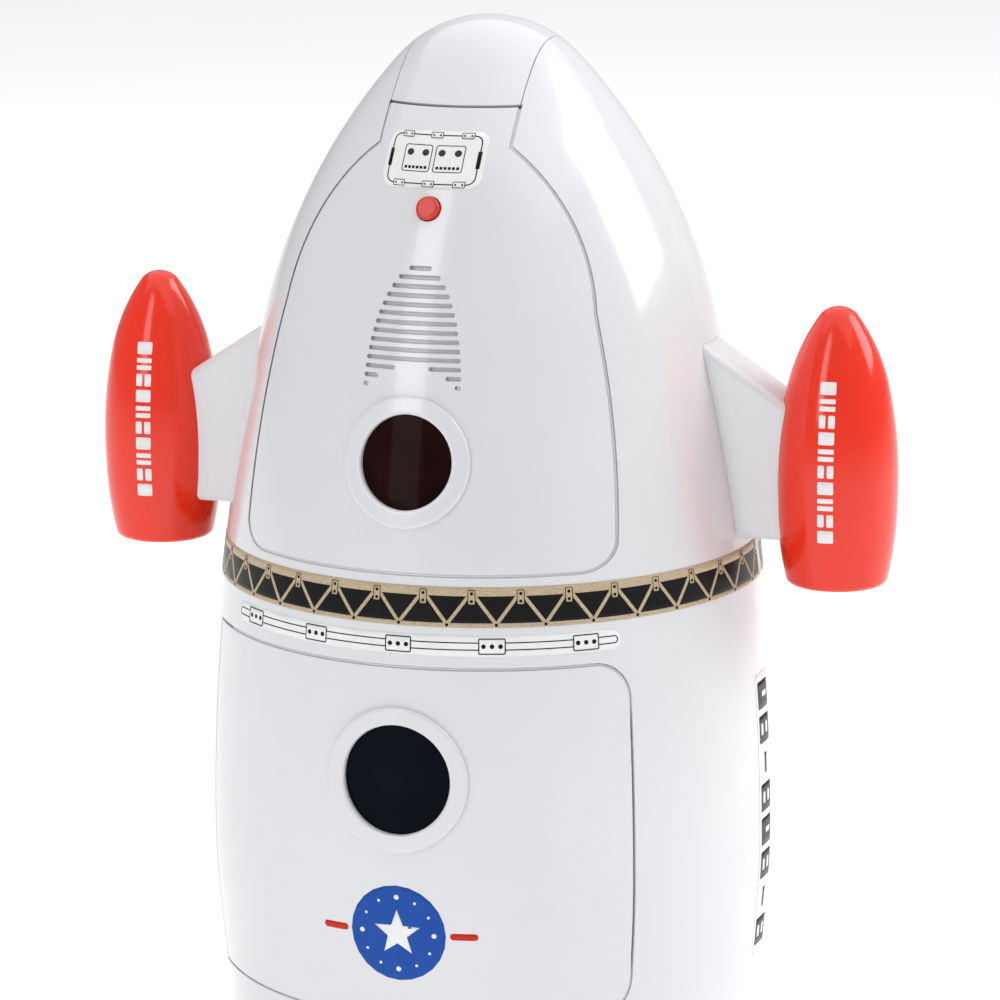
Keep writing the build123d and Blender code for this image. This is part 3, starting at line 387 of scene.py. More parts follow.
def tinted_pane_with_painted_shade(name, colour):
    """Dark see-into acrylic, drawn as near-opaque: deep colour under a hard clear surface. The deep
    colour is partly the acrylic's own tint and partly painted shade of the unlit cabin behind it.
    """
    made = Finish(name)
    depth = made.spread(made.noise(60.0, 2.0), 0.3, 0.7)
    dust = made.noise(1900.0, 1.0) > 0.75
    # The pane's colour is its tint plus painted shade of the dark cabin seen through it; the lumps only
    # vary it at random.
    tone = made.blend(depth, shade(colour, 0.75), shade(colour, 1.2))
    tone = made.blend(dust * 0.05, tone, (0.3, 0.3, 0.3))
    return made.set(
        Base_Color=tone,
        Roughness=made.spread(made.noise(45.0, 3.0), 0.4, 0.7, 0.05, 0.11),
        Specular_IOR_Level=0.03,
        Normal=made.relief(made.noise(70.0, 1.0), 0.01 * MM, made.eased(0.3 * MM)),
    )


def matt_plastic(name, colour, roughness=0.5):
    """Plastic from an eroded mould: an even, fine, dull grain."""
    made = Finish(name)
    cloud = made.spread(made.noise(30.0, 3.0), 0.35, 0.65)
    return made.set(
        Base_Color=made.blend(cloud, shade(colour, 0.92), colour),
        Roughness=made.spread(made.noise(90.0, 2.0), 0.3, 0.7, roughness - 0.06, roughness + 0.06),
        Normal=made.relief(made.noise(3400.0, 2.0), 0.02 * MM, made.eased(0.25 * MM)),
    )


def drawn_metal(name, colour, roughness, along=(1.0, 1.0, 1.0)):
    """Bare or plated metal with fine marks along one way."""
    made = Finish(name)
    marks = made.noise(1400.0, 2.0, made.stretched(*along))
    stain = made.spread(made.noise(220.0, 3.0), 0.45, 0.75)
    return made.set(
        Base_Color=made.blend(stain, colour, shade(colour, 0.8)),
        Metallic=1.0,
        Roughness=marks * 0.12 + stain * 0.08 + roughness,
        Normal=made.relief(marks, 0.006 * MM, made.eased(0.15 * MM)),
    )


def foot_rubber():
    made = Finish("rubber_of_feet")
    dust = made.spread(made.noise(260.0, 4.0), 0.5, 0.8)
    return made.set(
        Base_Color=made.blend(dust, (0.020, 0.020, 0.021), (0.075, 0.073, 0.070)),
        Roughness=dust * 0.12 + 0.66,
        Normal=made.relief(made.noise(1800.0, 3.0), 0.05 * MM, made.eased(0.4 * MM)),
    )


def wrapped_cell():
    """Dry-cell sleeve: dark for most of its length, with a copper-coloured end."""
    made = Finish("sleeve_of_cells")
    copper_end = made.axis("X") > 11.0 * MM
    scuff = made.spread(made.noise(500.0, 3.0), 0.55, 0.75)
    tone = made.blend(copper_end, (0.012, 0.012, 0.014), (0.50, 0.22, 0.075))
    return made.set(
        Base_Color=made.blend(scuff * 0.25, tone, (0.45, 0.45, 0.45)),
        Metallic=copper_end * 0.8,
        Roughness=scuff * 0.15 + 0.24,
        Normal=made.relief(scuff, 0.02 * MM),
    )


def speaker_felt():
    """Pressed pulp of the speaker's cone."""
    made = Finish("felt_of_speaker")
    fibre = made.noise(2400.0, 4.0, made.stretched(1.0, 0.3, 1.0))
    return made.set(
        Base_Color=made.blend(fibre, (0.30, 0.30, 0.31), (0.44, 0.44, 0.45)),
        Roughness=made.spread(fibre, 0.3, 0.7, 0.8, 0.95),
        Normal=made.relief(fibre, 0.06 * MM),
    )


def solder_mask():
    """Green board with darker laminate between paler tracks."""
    made = Finish("mask_of_board")
    lane = made.node(
        "ShaderNodeTexBrick", {"offset": 0.5},
        {"Vector": made.place, "Scale": 260.0, "Mortar Size": 0.06}, output="Fac",
    )
    return made.set(
        Base_Color=made.blend(lane, (0.010, 0.095, 0.035), (0.022, 0.17, 0.060)),
        Roughness=made.spread(made.noise(120.0, 2.0), 0.3, 0.7, 0.24, 0.36),
        Normal=made.relief(lane, 0.03 * MM),
    )


def printed_film(name, colour, roughness=0.30, speckle=0.0, speckle_colour=(0, 0, 0)):
    """Printed vinyl: flat ink with a slight tone in it, under a satin film."""
    made = Finish(name)
    tone = made.blend(made.spread(made.noise(80.0, 3.0), 0.35, 0.65), shade(colour, 0.94), colour)
    if speckle:
        grit = made.spread(made.noise(2600.0, 3.0), 0.44, 0.62)
        tone = made.blend(grit * speckle, tone, speckle_colour)
    return made.set(
        Base_Color=tone,
        Roughness=made.spread(made.noise(160.0, 3.0), 0.3, 0.7, roughness - 0.05, roughness + 0.07),
        Specular_IOR_Level=0.10,
        Normal=made.relief(made.noise(500.0, 2.0), 0.008 * MM),
    )


def dress(slot_finishes):
    """Gives each CAD node whose record slot is named here its finish."""
    for row in frame["record"]["subparts"]:
        if row["material_slot"] in slot_finishes:
            node = frame["nodes"][row["node"]]
            if not node.material_slots:
                node.data.materials.append(None)
            for held in node.material_slots:
                held.link = "OBJECT"
                held.material = slot_finishes[row["material_slot"]]


class ROCKET_OT_dress_shell(bpy.types.Operator):
    """Give the hull, doors, fins and base ring their polished white plastic"""

    bl_idname = "rocket.dress_shell"
    bl_label = "Shell plastic"

    def execute(self, context):
        look = context.scene.rocket_finish
        dress({"shell_white": polished_plastic("white_of_shell", look.shell, look.gloss, look.edge)})
        return {"FINISHED"}


class ROCKET_OT_dress_pods(bpy.types.Operator):
    """Give the side pods and the button their red plastics"""

    bl_idname = "rocket.dress_pods"
    bl_label = "Pod and button plastic"

    def execute(self, context):
        look = context.scene.rocket_finish
        dress({
            "pod_red": polished_plastic(
                "red_of_pods", look.pods, look.gloss - 0.04, look.edge, tint=0.93, coat=0.0
            ),
            "button_red": polished_plastic(
                "red_of_button", look.button, look.gloss + 0.1, look.edge, tint=0.9, coat=0.0
            ),
        })
        return {"FINISHED"}


class ROCKET_OT_dress_panes(bpy.types.Operator):
    """Give the two portholes their smoked panes, whose dark colour is partly tint and partly painted
    shade of the cabin behind
    """

    bl_idname = "rocket.dress_panes"
    bl_label = "Porthole panes"

    def execute(self, context):
        look = context.scene.rocket_finish
        dress({
            # Pane colours: the tint plus painted shade of the unlit cabin behind.
            "window_maroon": tinted_pane_with_painted_shade("tint_and_painted_shade_of_upper_pane", look.upper_pane),
            "window_blue": tinted_pane_with_painted_shade("tint_and_painted_shade_of_lower_pane", look.lower_pane),
        })
        return {"FINISHED"}


class ROCKET_OT_dress_works(bpy.types.Operator):
    """Give the sound unit, screws, pins and feet their finishes"""

    bl_idname = "rocket.dress_works"
    bl_label = "Sound unit and fixings"

    def execute(self, context):
        look = context.scene.rocket_finish
        dress({
            "inner_grey": matt_plastic("grey_of_unit", look.inner),
            "switch_black": matt_plastic("black_of_switch", (0.018, 0.018, 0.019), 0.42),
            "pin_steel": drawn_metal("steel_of_pins", (0.62, 0.62, 0.61), 0.18, (1.0, 1.0, 0.05)),
            "screw_steel": drawn_metal("zinc_of_screws", (0.55, 0.56, 0.58), 0.26),
            "contact_nickel": drawn_metal("nickel_of_contacts", (0.68, 0.65, 0.58), 0.20),
            "speaker_steel": drawn_metal("steel_of_speaker", (0.48, 0.48, 0.48), 0.34),
            "speaker_paper": speaker_felt(),
            "board_green": solder_mask(),
            "cell_wrap": wrapped_cell(),
            "foot_rubber": foot_rubber(),
        })
        return {"FINISHED"}


# ------------------------------------------------------------------ stickers


class Skin:
    """The outside of a turned moulding, read from the CAD meshes as radius against height."""

    ray = 250 * MM  # rays start this far from the axis
    lean_span = 2 * MM  # the lean is read over this much above and below

    def __init__(self, nodes, turns, low, high, axis_x=0.0):
        self.axis_x = axis_x
        trees = []
        for name in nodes:
            made = bmesh.new()
            made.from_mesh(frame["nodes"][name].data)
            trees.append(BVHTree.FromBMesh(made))
            made.free()
        self.rows = []
        count = int((high - low) / MM)
        for row in range(count):
            z = low + (row + 0.3) * MM
            radius = 0.0
            for turn in turns:
                out = Vector((sin(turn), -cos(turn), 0))
                start = Vector((axis_x, 0, z)) + out * self.ray
                for tree in trees:
                    hit = tree.ray_cast(start, -out, self.ray)[0]
                    if hit is not None:
                        radius = max(radius, (hit - Vector((axis_x, 0, z))).dot(out))
            if radius == 0.0:
                raise RuntimeError(f"no skin of {nodes} at height {z:.4f}")
            along = 0.0
            if self.rows:
                along = self.rows[-1][2] + hypot(z - self.rows[-1][0], radius - self.rows[-1][1])
            self.rows.append((z, radius, along))

    def between(self, value, column):
        """The row of height, radius and length along the skin where the column holds value."""
        low, high = 0, len(self.rows) - 1
        while high - low > 1:
            middle = (low + high) // 2
            if self.rows[middle][column] <= value:
                low = middle
            else:
                high = middle
        first, second = self.rows[low], self.rows[high]
        share = (value - first[column]) / (second[column] - first[column])
        return [a + (b - a) * share for a, b in zip(first, second)]

    def lean(self, z):
        """Angle by which the skin's normal points up."""
        above, below = self.between(z + self.lean_span, 0), self.between(z - self.lean_span, 0)
        return atan2(below[1] - above[1], above[0] - below[0])


class Sticker:
    """Printed film on a skin. Its places are across and up the skin from the sticker's middle."""

    def __init__(self, name, skin, turn, height, wraps=False):
        self.name = name
        self.skin = skin
        self.turn = turn
        middle = skin.between(height, 0)
        self.rise = middle[2]
        self.girth = middle[1] if wraps else None
        self.mesh = bmesh.new()
        self.inks = []

    def spot(self, across, up, lift):
        z, radius, _ = self.skin.between(self.rise + up, 2)
        turn = self.turn + across / (self.girth or radius)
        lean = self.skin.lean(z)
        radius += lift * cos(lean)
        return self.mesh.verts.new(
            (self.skin.axis_x + radius * sin(turn), -radius * cos(turn), z + lift * sin(lean))
        )

    def face(self, verts, ink):
        if ink not in self.inks:
            self.inks.append(ink)
        made = self.mesh.faces.new(verts)
        made.material_index = self.inks.index(ink)
        made.smooth = True

    def grid(self, columns, ink, lift, rows):
        """Faces over columns of (across, foot, top)."""
        spots = [
            [self.spot(across, foot + (top - foot) * row / rows, lift) for row in range(rows + 1)]
            for across, foot, top in columns
        ]
        for left, right in zip(spots, spots[1:]):
            for row in range(rows):
                self.face((left[row], right[row], right[row + 1], left[row + 1]), ink)

    def plate(self, across, up, width, tall, corner, ink, lift):
        """A rectangle with round corners, or a disc where corner is half its size."""
        reach, rise = width / 2, tall / 2
        ends = []
        for step in range(CORNER_CUTS + 1):
            turn = pi / 2 * step / CORNER_CUTS
            ends.append((reach - corner * (1 - sin(turn)), rise - corner * (1 - cos(turn))))
        inner = reach - corner
        cuts = max(1, round(2 * inner / CHORD)) if inner > 1e-6 else 0
        middle = [(-inner + 2 * inner * cut / cuts, rise) for cut in range(1, cuts)]
        sides = [(-a, r) for a, r in reversed(ends)] + middle + (ends if cuts else ends[1:])
        rows = max(2, round(tall / CHORD))
        self.grid([(across + a, up - r, up + r) for a, r in sides], ink, lift, rows)

    def dot(self, across, up, size, ink, lift=PRINT):
        self.plate(across, up, size, size, size / 2, ink, lift)

    def line(self, route, width, ink, lift=PRINT, closed=False):
        """A line of even width through the route's points."""
        route = [Vector(point) for point in route]
        if closed:
            route.append(route[0])
        fine = [route[0]]
        for start, end in zip(route, route[1:]):
            cuts = max(1, round((end - start).length / CHORD))
            fine += [start.lerp(end, (cut + 1) / cuts) for cut in range(cuts)]
        if closed:
            fine.pop()
        rails = []
        for place, point in enumerate(fine):
            before = fine[place - 1] if place or closed else point
            after = fine[(place + 1) % len(fine)] if place + 1 < len(fine) or closed else point
            into, out = (point - before), (after - point)
            into = into.normalized() if into.length else out.normalized()
            out = out.normalized() if out.length else into
            way = (into + out).normalized()
            side = Vector((-way.y, way.x)) * (width / 2 / max(0.5, way.dot(into)))
            rails.append((self.spot(*(point - side), lift), self.spot(*(point + side), lift)))
        if closed:
            rails.append(rails[0])
        for (a, b), (c, d) in zip(rails, rails[1:]):
            self.face((a, c, d, b), ink)

    def outline(self, across, up, width, tall, corner, thick, ink, lift=PRINT):
        """The edge line of a rectangle with round corners."""
        route = []
        for quarter, (side, rise) in enumerate(((1, 1), (-1, 1), (-1, -1), (1, -1))):
            for step in range(5):
                turn = pi / 2 * (quarter + step / 4)
                route.append((
                    across + side * (width / 2 - corner) + corner * cos(turn),
                    up + rise * (tall / 2 - corner) + corner * sin(turn),
                ))
        self.line(route, thick, ink, lift, closed=True)

    def riveted(self, middle, width, tall, corner, thick, paper, mark, rivets, size):
        """A plate of paper with an edge line and rivets of ink, each placed from its middle."""
        across, up = middle
        self.plate(across, up, width, tall, corner, paper, OVERPRINT)
        self.outline(across, up, width, tall, corner, thick, mark, RIM)
        for right, above in rivets:
            self.dot(across + right, up + above, size, mark, DOTS)

    def star(self, across, up, size, points, ink, lift, waist=0.42):
        """A star round its middle, cut into rings so that it follows the skin."""
        rings = []
        for share in (1.0, 0.66, 0.33):
            ring = []
            for corner in range(2 * points):
                reach = size * share * (waist if corner % 2 else 1.0)
                turn = pi / 2 + pi * corner / points
                ring.append(self.spot(across + reach * cos(turn), up + reach * sin(turn), lift))
            rings.append(ring)
        for outer, inner in zip(rings, rings[1:]):
            for corner in range(2 * points):
                after = (corner + 1) % (2 * points)
                self.face((outer[corner], outer[after], inner[after], inner[corner]), ink)
        self.face(rings[-1], ink)

    def apply(self, body, slot, thickness=FILM):
        """Turns the film into a thin sheet and rides it on a CAD body."""
        self.mesh.normal_update()
        data = bpy.data.meshes.new(self.name)
        self.mesh.to_mesh(data)
        self.mesh.free()
        for ink in self.inks:
            data.materials.append(ink)
        film = bpy.data.objects.new(self.name, data)
        bpy.context.scene.collection.objects.link(film)
        thick = film.modifiers.new("film", "SOLIDIFY")
        thick.thickness = thickness
        thick.offset = -1.0
        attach(film, body)
        return film


def ink(name, *args, **settings):
    """The printed film of that name, made once."""
    return bpy.data.materials.get(name) or printed_film(name, *args, **settings)


def white_film():
    return ink("film_white", (0.90, 0.90, 0.895))


def black_ink():
    return ink("ink_black", (0.012, 0.012, 0.013), 0.26)


def hull_skin():
    """The hull's skin, measured round the side where no door or panel cuts it."""
    turns = [radians(100 + 1.7 * step) for step in range(21)]
    low, high = 70 * MM, 436 * MM
    return Skin(HULL, turns, low, high)


def bend(start, through, end, count):
    """Points on the arc from start through a middle point to end."""
    (ax, ay), (bx, by), (cx, cy) = start, through, end
    twice = 2 * (ax * (by - cy) + bx * (cy - ay) + cx * (ay - by))
    squares = [x * x + y * y for x, y in (start, through, end)]
    middle = Vector((
        (squares[0] * (by - cy) + squares[1] * (cy - ay) + squares[2] * (ay - by)) / twice,
        (squares[0] * (cx - bx) + squares[1] * (ax - cx) + squares[2] * (bx - ax)) / twice,
    ))
    first, last = Vector(start) - middle, Vector(end) - middle
    sweep = last.angle_signed(first)
    radius = first.length
    begin = atan2(first.y, first.x)
    return [
        middle + radius * Vector((cos(begin + sweep * step / count), sin(begin + sweep * step / count)))
        for step in range(count + 1)
    ]


class ROCKET_OT_seam_lips(bpy.types.Operator):
    """Fill the foot of the door seams with the hull's own inner lip"""

    bl_idname = "rocket.seam_lips"
    bl_label = "Seam lips"
    foot_cuts, side_cuts, shoulder_cuts = 40, 24, 18

    def execute(self, context):
        size = context.scene.rocket_seams
        skin = hull_skin()
        white = frame["nodes"]["upper_hull"].material_slots[0].material

        lip = Sticker("canopy_seam_lip", skin, 0.0, size.canopy_foot)
        side = self.canopy_side(size)
        route = [(-x, z) for x, z in reversed(side)] + [(x, z) for x, z in side]
        route = [self.sunk(skin, x, z, size.depth) for x, z in route]
        self.lay(lip, route, size.canopy_width, size.depth, white)
        lip.apply("root", "shell_white", size.thickness)

        lip = Sticker("door_seam_lip", skin, 0.0, size.door_foot)
        self.lay(lip, self.door_route(size), size.width, size.depth, white)
        lip.apply("root", "shell_white", size.thickness)
        return {"FINISHED"}

    def canopy_side(self, size):
        """Places across and up along the canopy's seam, from its foot to its tab."""
        foot, half, corner = size.canopy_foot, size.canopy_half, size.canopy_corner
        side = []
        for step in range(CORNER_CUTS + 1):
            turn = pi / 2 * step / CORNER_CUTS
            side.append(Vector((half - corner * (1 - sin(turn)), foot + corner * (1 - cos(turn)))))
        flank_start = (half, foot + corner / 2)
        flank = bend(flank_start, size.canopy_flank, size.canopy_shoulder, self.side_cuts)
        side += [point for point in flank if point.y > foot + corner]
        side += bend(size.canopy_shoulder, size.canopy_hip, size.tab_foot, self.shoulder_cuts)[1:]
        side.append(Vector((size.tab_foot[0], size.tab_top)))
        return side

    def door_route(self, size):
        """Turns and heights round the lower door's seam, clear of its hinges."""
        low, high, near, corner = size.door_foot, size.door_top, size.door_near, size.door_corner
        right = size.door_free - corner / size.door_girth
        route = []
        for step in range(self.foot_cuts + 1):
            route.append((near + (right - near) * step / self.foot_cuts, low))
        for step in range(1, CORNER_CUTS + 1):
            turn = pi / 2 * step / CORNER_CUTS
            route.append((
                right + corner * sin(turn) / size.door_girth,
                low + corner * (1 - cos(turn)),
            ))
        return route + [(turn, low + high - z) for turn, z in reversed(route)]

    @staticmethod
    def sunk(skin, x, z, depth):
        """Turn and height of the skin's point that lies at x and z once it is sunk by depth."""
        lean = skin.lean(z)
        height = z + depth * sin(lean)
        radius = skin.between(height, 0)[1] - depth * cos(lean)
        return asin(x / radius), height

    @staticmethod
    def lay(lip, route, width, depth, plastic):
        """A ribbon along a route of (turn, height), sunk into the seam."""
        spots = []
        for turn, z in route:
            _, radius, along = lip.skin.between(z, 0)
            spots.append((turn * radius, along - lip.rise))
        lip.line(spots, width, plastic, -depth)


class ROCKET_OT_waist_strip(bpy.types.Operator):
    """Lay the girder strip round the waist"""

    bl_idname = "rocket.waist_strip"
    bl_label = "Girder strip"
    cuts_of_bay = 8
    gusset = (2.6 * MM, 5.4 * MM, 0.5 * MM)  # width, height, corner
    brace_gap, tuck = 0.9 * MM, 0.4 * MM
    rivet, rivet_sink = 1.2 * MM, 0.7 * MM
    lap_width = 5.0 * MM

    def execute(self, context):
        size = context.scene.rocket_waist
        middle = (size.foot + size.top) / 2
        strip = Sticker("girder_strip", hull_skin(), 0.0, middle, wraps=True)
        tan = ink("ink_tan", (0.62, 0.50, 0.34), 0.34, speckle=0.75, speckle_colour=(0.34, 0.25, 0.15))
        black = black_ink()
        girth = 2 * pi * strip.girth
        half = (size.top - size.foot) / 2
        cuts = size.bays * self.cuts_of_bay
        lap = strip.girth * size.joint_turn
        round_it = [lap + girth * cut / cuts for cut in range(cuts + 1)]

        def band(foot, top, film, lift, rows):
            strip.grid([(across, foot, top) for across in round_it], film, lift, rows)

        band(-half, half, black, BACKING, 5)
        upper, lower = half - size.upper_beam, size.lower_beam - half
        band(upper, half, tan, PRINT, 2)
        band(-half, lower, tan, PRINT, 2)
        bay = girth / size.bays
        for number in range(size.bays):
            across = (number + 0.5) * bay
            for side in (-1, 1):
                head = (across + side * self.brace_gap, upper + self.tuck)
                strip.line([head, (across + side * bay / 2, lower - self.tuck)], size.brace, tan)
            strip.riveted(
                (across, upper - self.tuck), *self.gusset, 0.25 * MM, tan, black,
                ((0, 1.3 * MM), (0, -1.5 * MM)), self.rivet,
            )
            strip.dot(across + bay / 2, lower - self.rivet_sink, self.rivet, black, OVERPRINT)
        strip.plate(
            lap, 0.0, self.lap_width, 2 * half, 0.3 * MM,
            ink("film_lap", (0.55, 0.52, 0.46), 0.2), OVERPRINT,
        )
        strip.apply("root", "shell_white")
        return {"FINISHED"}


class ROCKET_OT_rail_strip(bpy.types.Operator):
    """Lay the rail strip on the front, under the waist"""

    bl_idname = "rocket.rail_strip"
    bl_label = "Rail strip"
    plate = (9.6 * MM, 5.6 * MM, 0.4 * MM)  # width, height, corner
    line, end_gap = 0.42 * MM, 1.2 * MM
    rivet, rivet_pitch = 1.7 * MM, 3.1 * MM

    def execute(self, context):
        size = context.scene.rocket_rail
        strip = Sticker("rail_strip", hull_skin(), 0.0, size.height, wraps=True)
        black, white = black_ink(), white_film()
        reach = strip.girth * size.reach
        strip.plate(0, 0, 2 * reach, size.width, size.width / 2 - 0.2 * MM, white, BACKING)
        strip.outline(
            0, 0, 2 * (reach - self.end_gap), size.gauge, size.gauge / 2 - 0.05 * MM, self.line, black
        )
        rivets = [(place * self.rivet_pitch, 0) for place in (-1, 0, 1)]
        for number in range(size.plates):
            across = strip.girth * size.spacing * (number - (size.plates - 1) / 2)
            strip.riveted((across, 0), *self.plate, self.line, white, black, rivets, self.rivet)
        strip.apply("root", "shell_white")
        return {"FINISHED"}


class ROCKET_OT_instrument_label(bpy.types.Operator):
    """Lay the instrument label on the canopy, above the button"""

    bl_idname = "rocket.instrument_label"
    bl_label = "Instrument label"
    backing_corner, line_corner, line = 4.6 * MM, 3.0 * MM, 0.45 * MM
    side_bar = (1.5 * MM, 7.0 * MM, 0.3 * MM)  # width, height, corner
    plate = (4.5 * MM, 2.3 * MM, 0.3 * MM)
    plate_pitch, rivet, rivet_reach = 11.8 * MM, 0.8 * MM, 1.3 * MM
    gauge = (11.0 * MM, 10.6 * MM, 0.9 * MM)
    gauge_across, gauge_up, gauge_line = 6.3 * MM, 0.3 * MM, 0.32 * MM
    dial, dial_across, dial_up = 2.7 * MM, 3.1 * MM, 2.6 * MM
    lights, light, light_pitch, light_up = 6, 1.1 * MM, 1.58 * MM, -3.4 * MM

    def execute(self, context):
        size = context.scene.rocket_labels
        label = Sticker("instrument_label", hull_skin(), size.panel_turn, size.panel_height)
        black, paper = black_ink(), white_film()
        grey = ink("ink_grey", (0.045, 0.045, 0.048), 0.3)
        label.plate(0, 0, size.panel_width, size.panel_tall, self.backing_corner, paper, BACKING)
        wide, tall = size.panel_width - 4.8 * MM, size.panel_tall - 3.7 * MM
        label.outline(0, 0, wide, tall, self.line_corner, self.line, black)
        rivets = [(-self.rivet_reach, 0), (self.rivet_reach, 0)]
        for side in (-1, 1):
            label.plate(side * wide / 2, 0, *self.side_bar, black, OVERPRINT)
            for place in (-1, 0, 1):
                middle = (place * self.plate_pitch, side * tall / 2)
                label.riveted(middle, *self.plate, 0.25 * MM, paper, black, rivets, self.rivet)
            across = side * self.gauge_across
            label.outline(across, self.gauge_up, *self.gauge, self.gauge_line, black)
            for dial in (-1, 1):
                label.dot(across + dial * self.dial_across, self.dial_up, self.dial, grey)
            for place in range(self.lights):
                label.plate(
                    across + (place - (self.lights - 1) / 2) * self.light_pitch, self.light_up,
                    self.light, self.light, 0.1 * MM, black, PRINT,
                )
        label.apply("canopy", "shell_white")
        return {"FINISHED"}


class ROCKET_OT_door_badge(bpy.types.Operator):
    """Lay a plain star badge on the lower door"""

    bl_idname = "rocket.door_badge"
    bl_label = "Door badge"
    bar = (10.5 * MM, 2.6 * MM, 1.25 * MM)  # width, height, corner
    bar_gap = 6.8 * MM
    dots, small_dot, large_dot = 12, 1.1 * MM, 1.9 * MM

    def execute(self, context):
        size = context.scene.rocket_labels
        badge = Sticker("door_badge", hull_skin(), 0.0, size.badge_height)
        blue = ink("ink_blue", (0.018, 0.085, 0.40), 0.24)
        red = ink("ink_red", (0.62, 0.035, 0.018), 0.24)
        white = white_film()
        radius = size.badge_radius
        for side in (-1, 1):
            badge.plate(side * (radius + self.bar_gap), 0, *self.bar, red, BACKING)
        badge.dot(0, 0, 2 * radius, blue, BACKING)
        badge.star(0, 0, 0.50 * radius, 5, white, PRINT)
        ring = 0.76 * radius
        for number in range(self.dots):
            turn = 2 * pi * number / self.dots
            across, up = ring * cos(turn), ring * sin(turn)
            badge.dot(across, up, self.small_dot if number % 3 else self.large_dot, white)
        badge.apply("lower_door", "shell_white")
        return {"FINISHED"}


class ROCKET_OT_side_mark(bpy.types.Operator):
    """Lay the upright strip of bars on the hull's side"""

    bl_idname = "rocket.side_mark"
    bl_label = "Side mark"
    width, end_gap, corner = 15.0 * MM, 2.0 * MM, 2.0 * MM
    bar, block, block_gap = 2.6 * MM, 11.6 * MM, 2.6 * MM
    slit = (5.0 * MM, 2.2 * MM, 0.5 * MM)  # width, height, corner
    slit_across = 1.6 * MM
    eye, eye_across = 2.4 * MM, 2.6 * MM

    def execute(self, context):
        size = context.scene.rocket_labels
        mark = Sticker("side_mark", hull_skin(), size.side_turn, size.side_height)
        black, white = black_ink(), white_film()
        mark.plate(0, 0, self.width, size.side_long, self.corner, white, BACKING)
        pitch = (size.side_long - 2 * self.end_gap) / size.side_cells
        for cell in range(size.side_cells):
            up = (cell - (size.side_cells - 1) / 2) * pitch
            if cell % 4 == 1:
                mark.plate(0, up, self.bar, pitch * 0.6, 0.4 * MM, black, PRINT)
                continue
            mark.plate(0, up, self.block, pitch - self.block_gap, 0.9 * MM, black, PRINT)
            if cell % 2:
                mark.plate(self.slit_across, up, *self.slit, white, OVERPRINT)
            else:
                for side in (-1, 1):
                    across = side * self.eye_across
                    mark.plate(across, up, self.eye, pitch * 0.34, 0.5 * MM, white, OVERPRINT)
        mark.apply("root", "shell_white")
        return {"FINISHED"}


class ROCKET_OT_pod_marks(bpy.types.Operator):
    """Lay an upright row of white blocks on the front of each pod"""

    bl_idname = "rocket.pod_marks"
    bl_label = "Pod marks"
    block, half_block, block_gap = 6.0 * MM, 2.5 * MM, 1.4 * MM

    def execute(self, context):
        size = context.scene.rocket_labels
        white = white_film()
        for name in PODS:
            low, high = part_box(name)
            turns = [radians(-50 + 5 * step) for step in range(21)]
            skin = Skin((name,), turns, low.z + 2 * MM, high.z - 4 * MM, (low.x + high.x) / 2)
            mark = Sticker(f"{name}_marks", skin, size.pod_turn, size.pod_height)
            pitch = size.pod_long / size.pod_cells
            tall = pitch - self.block_gap
            for cell in range(size.pod_cells):
                up = (cell - (size.pod_cells - 1) / 2) * pitch
                if cell % 3 == 0:
                    mark.plate(0, up, self.block, tall, 0.6 * MM, white, BACKING)
                    continue
                for side in (-1, 1):
                    if cell % 3 == 1:
                        across = side * (self.block - self.half_block) / 2
                        mark.plate(across, up, self.half_block, tall, 0.5 * MM, white, BACKING)
                    else:
                        rise = up + side * tall * 0.29
                        mark.plate(0, rise, self.block, tall * 0.38, 0.4 * MM, white, BACKING)
            mark.apply("root", "pod_red")
        return {"FINISHED"}


# ------------------------------------------------------------------ stage


def soft_lamp(name, place, aim, width, tall, watts):
    """A flat rectangular lamp at place, turned towards aim."""
    data = bpy.data.lights.new(name, "AREA")
    data.shape = "RECTANGLE"
    data.size, data.size_y = width, tall
    data.energy = watts
    lamp = bpy.data.objects.new(name, data)
    bpy.context.scene.collection.objects.link(lamp)
    lamp.location = place
    lamp.rotation_mode = "QUATERNION"
    lamp.rotation_quaternion = (Vector(aim) - Vector(place)).to_track_quat("-Z", "Y")


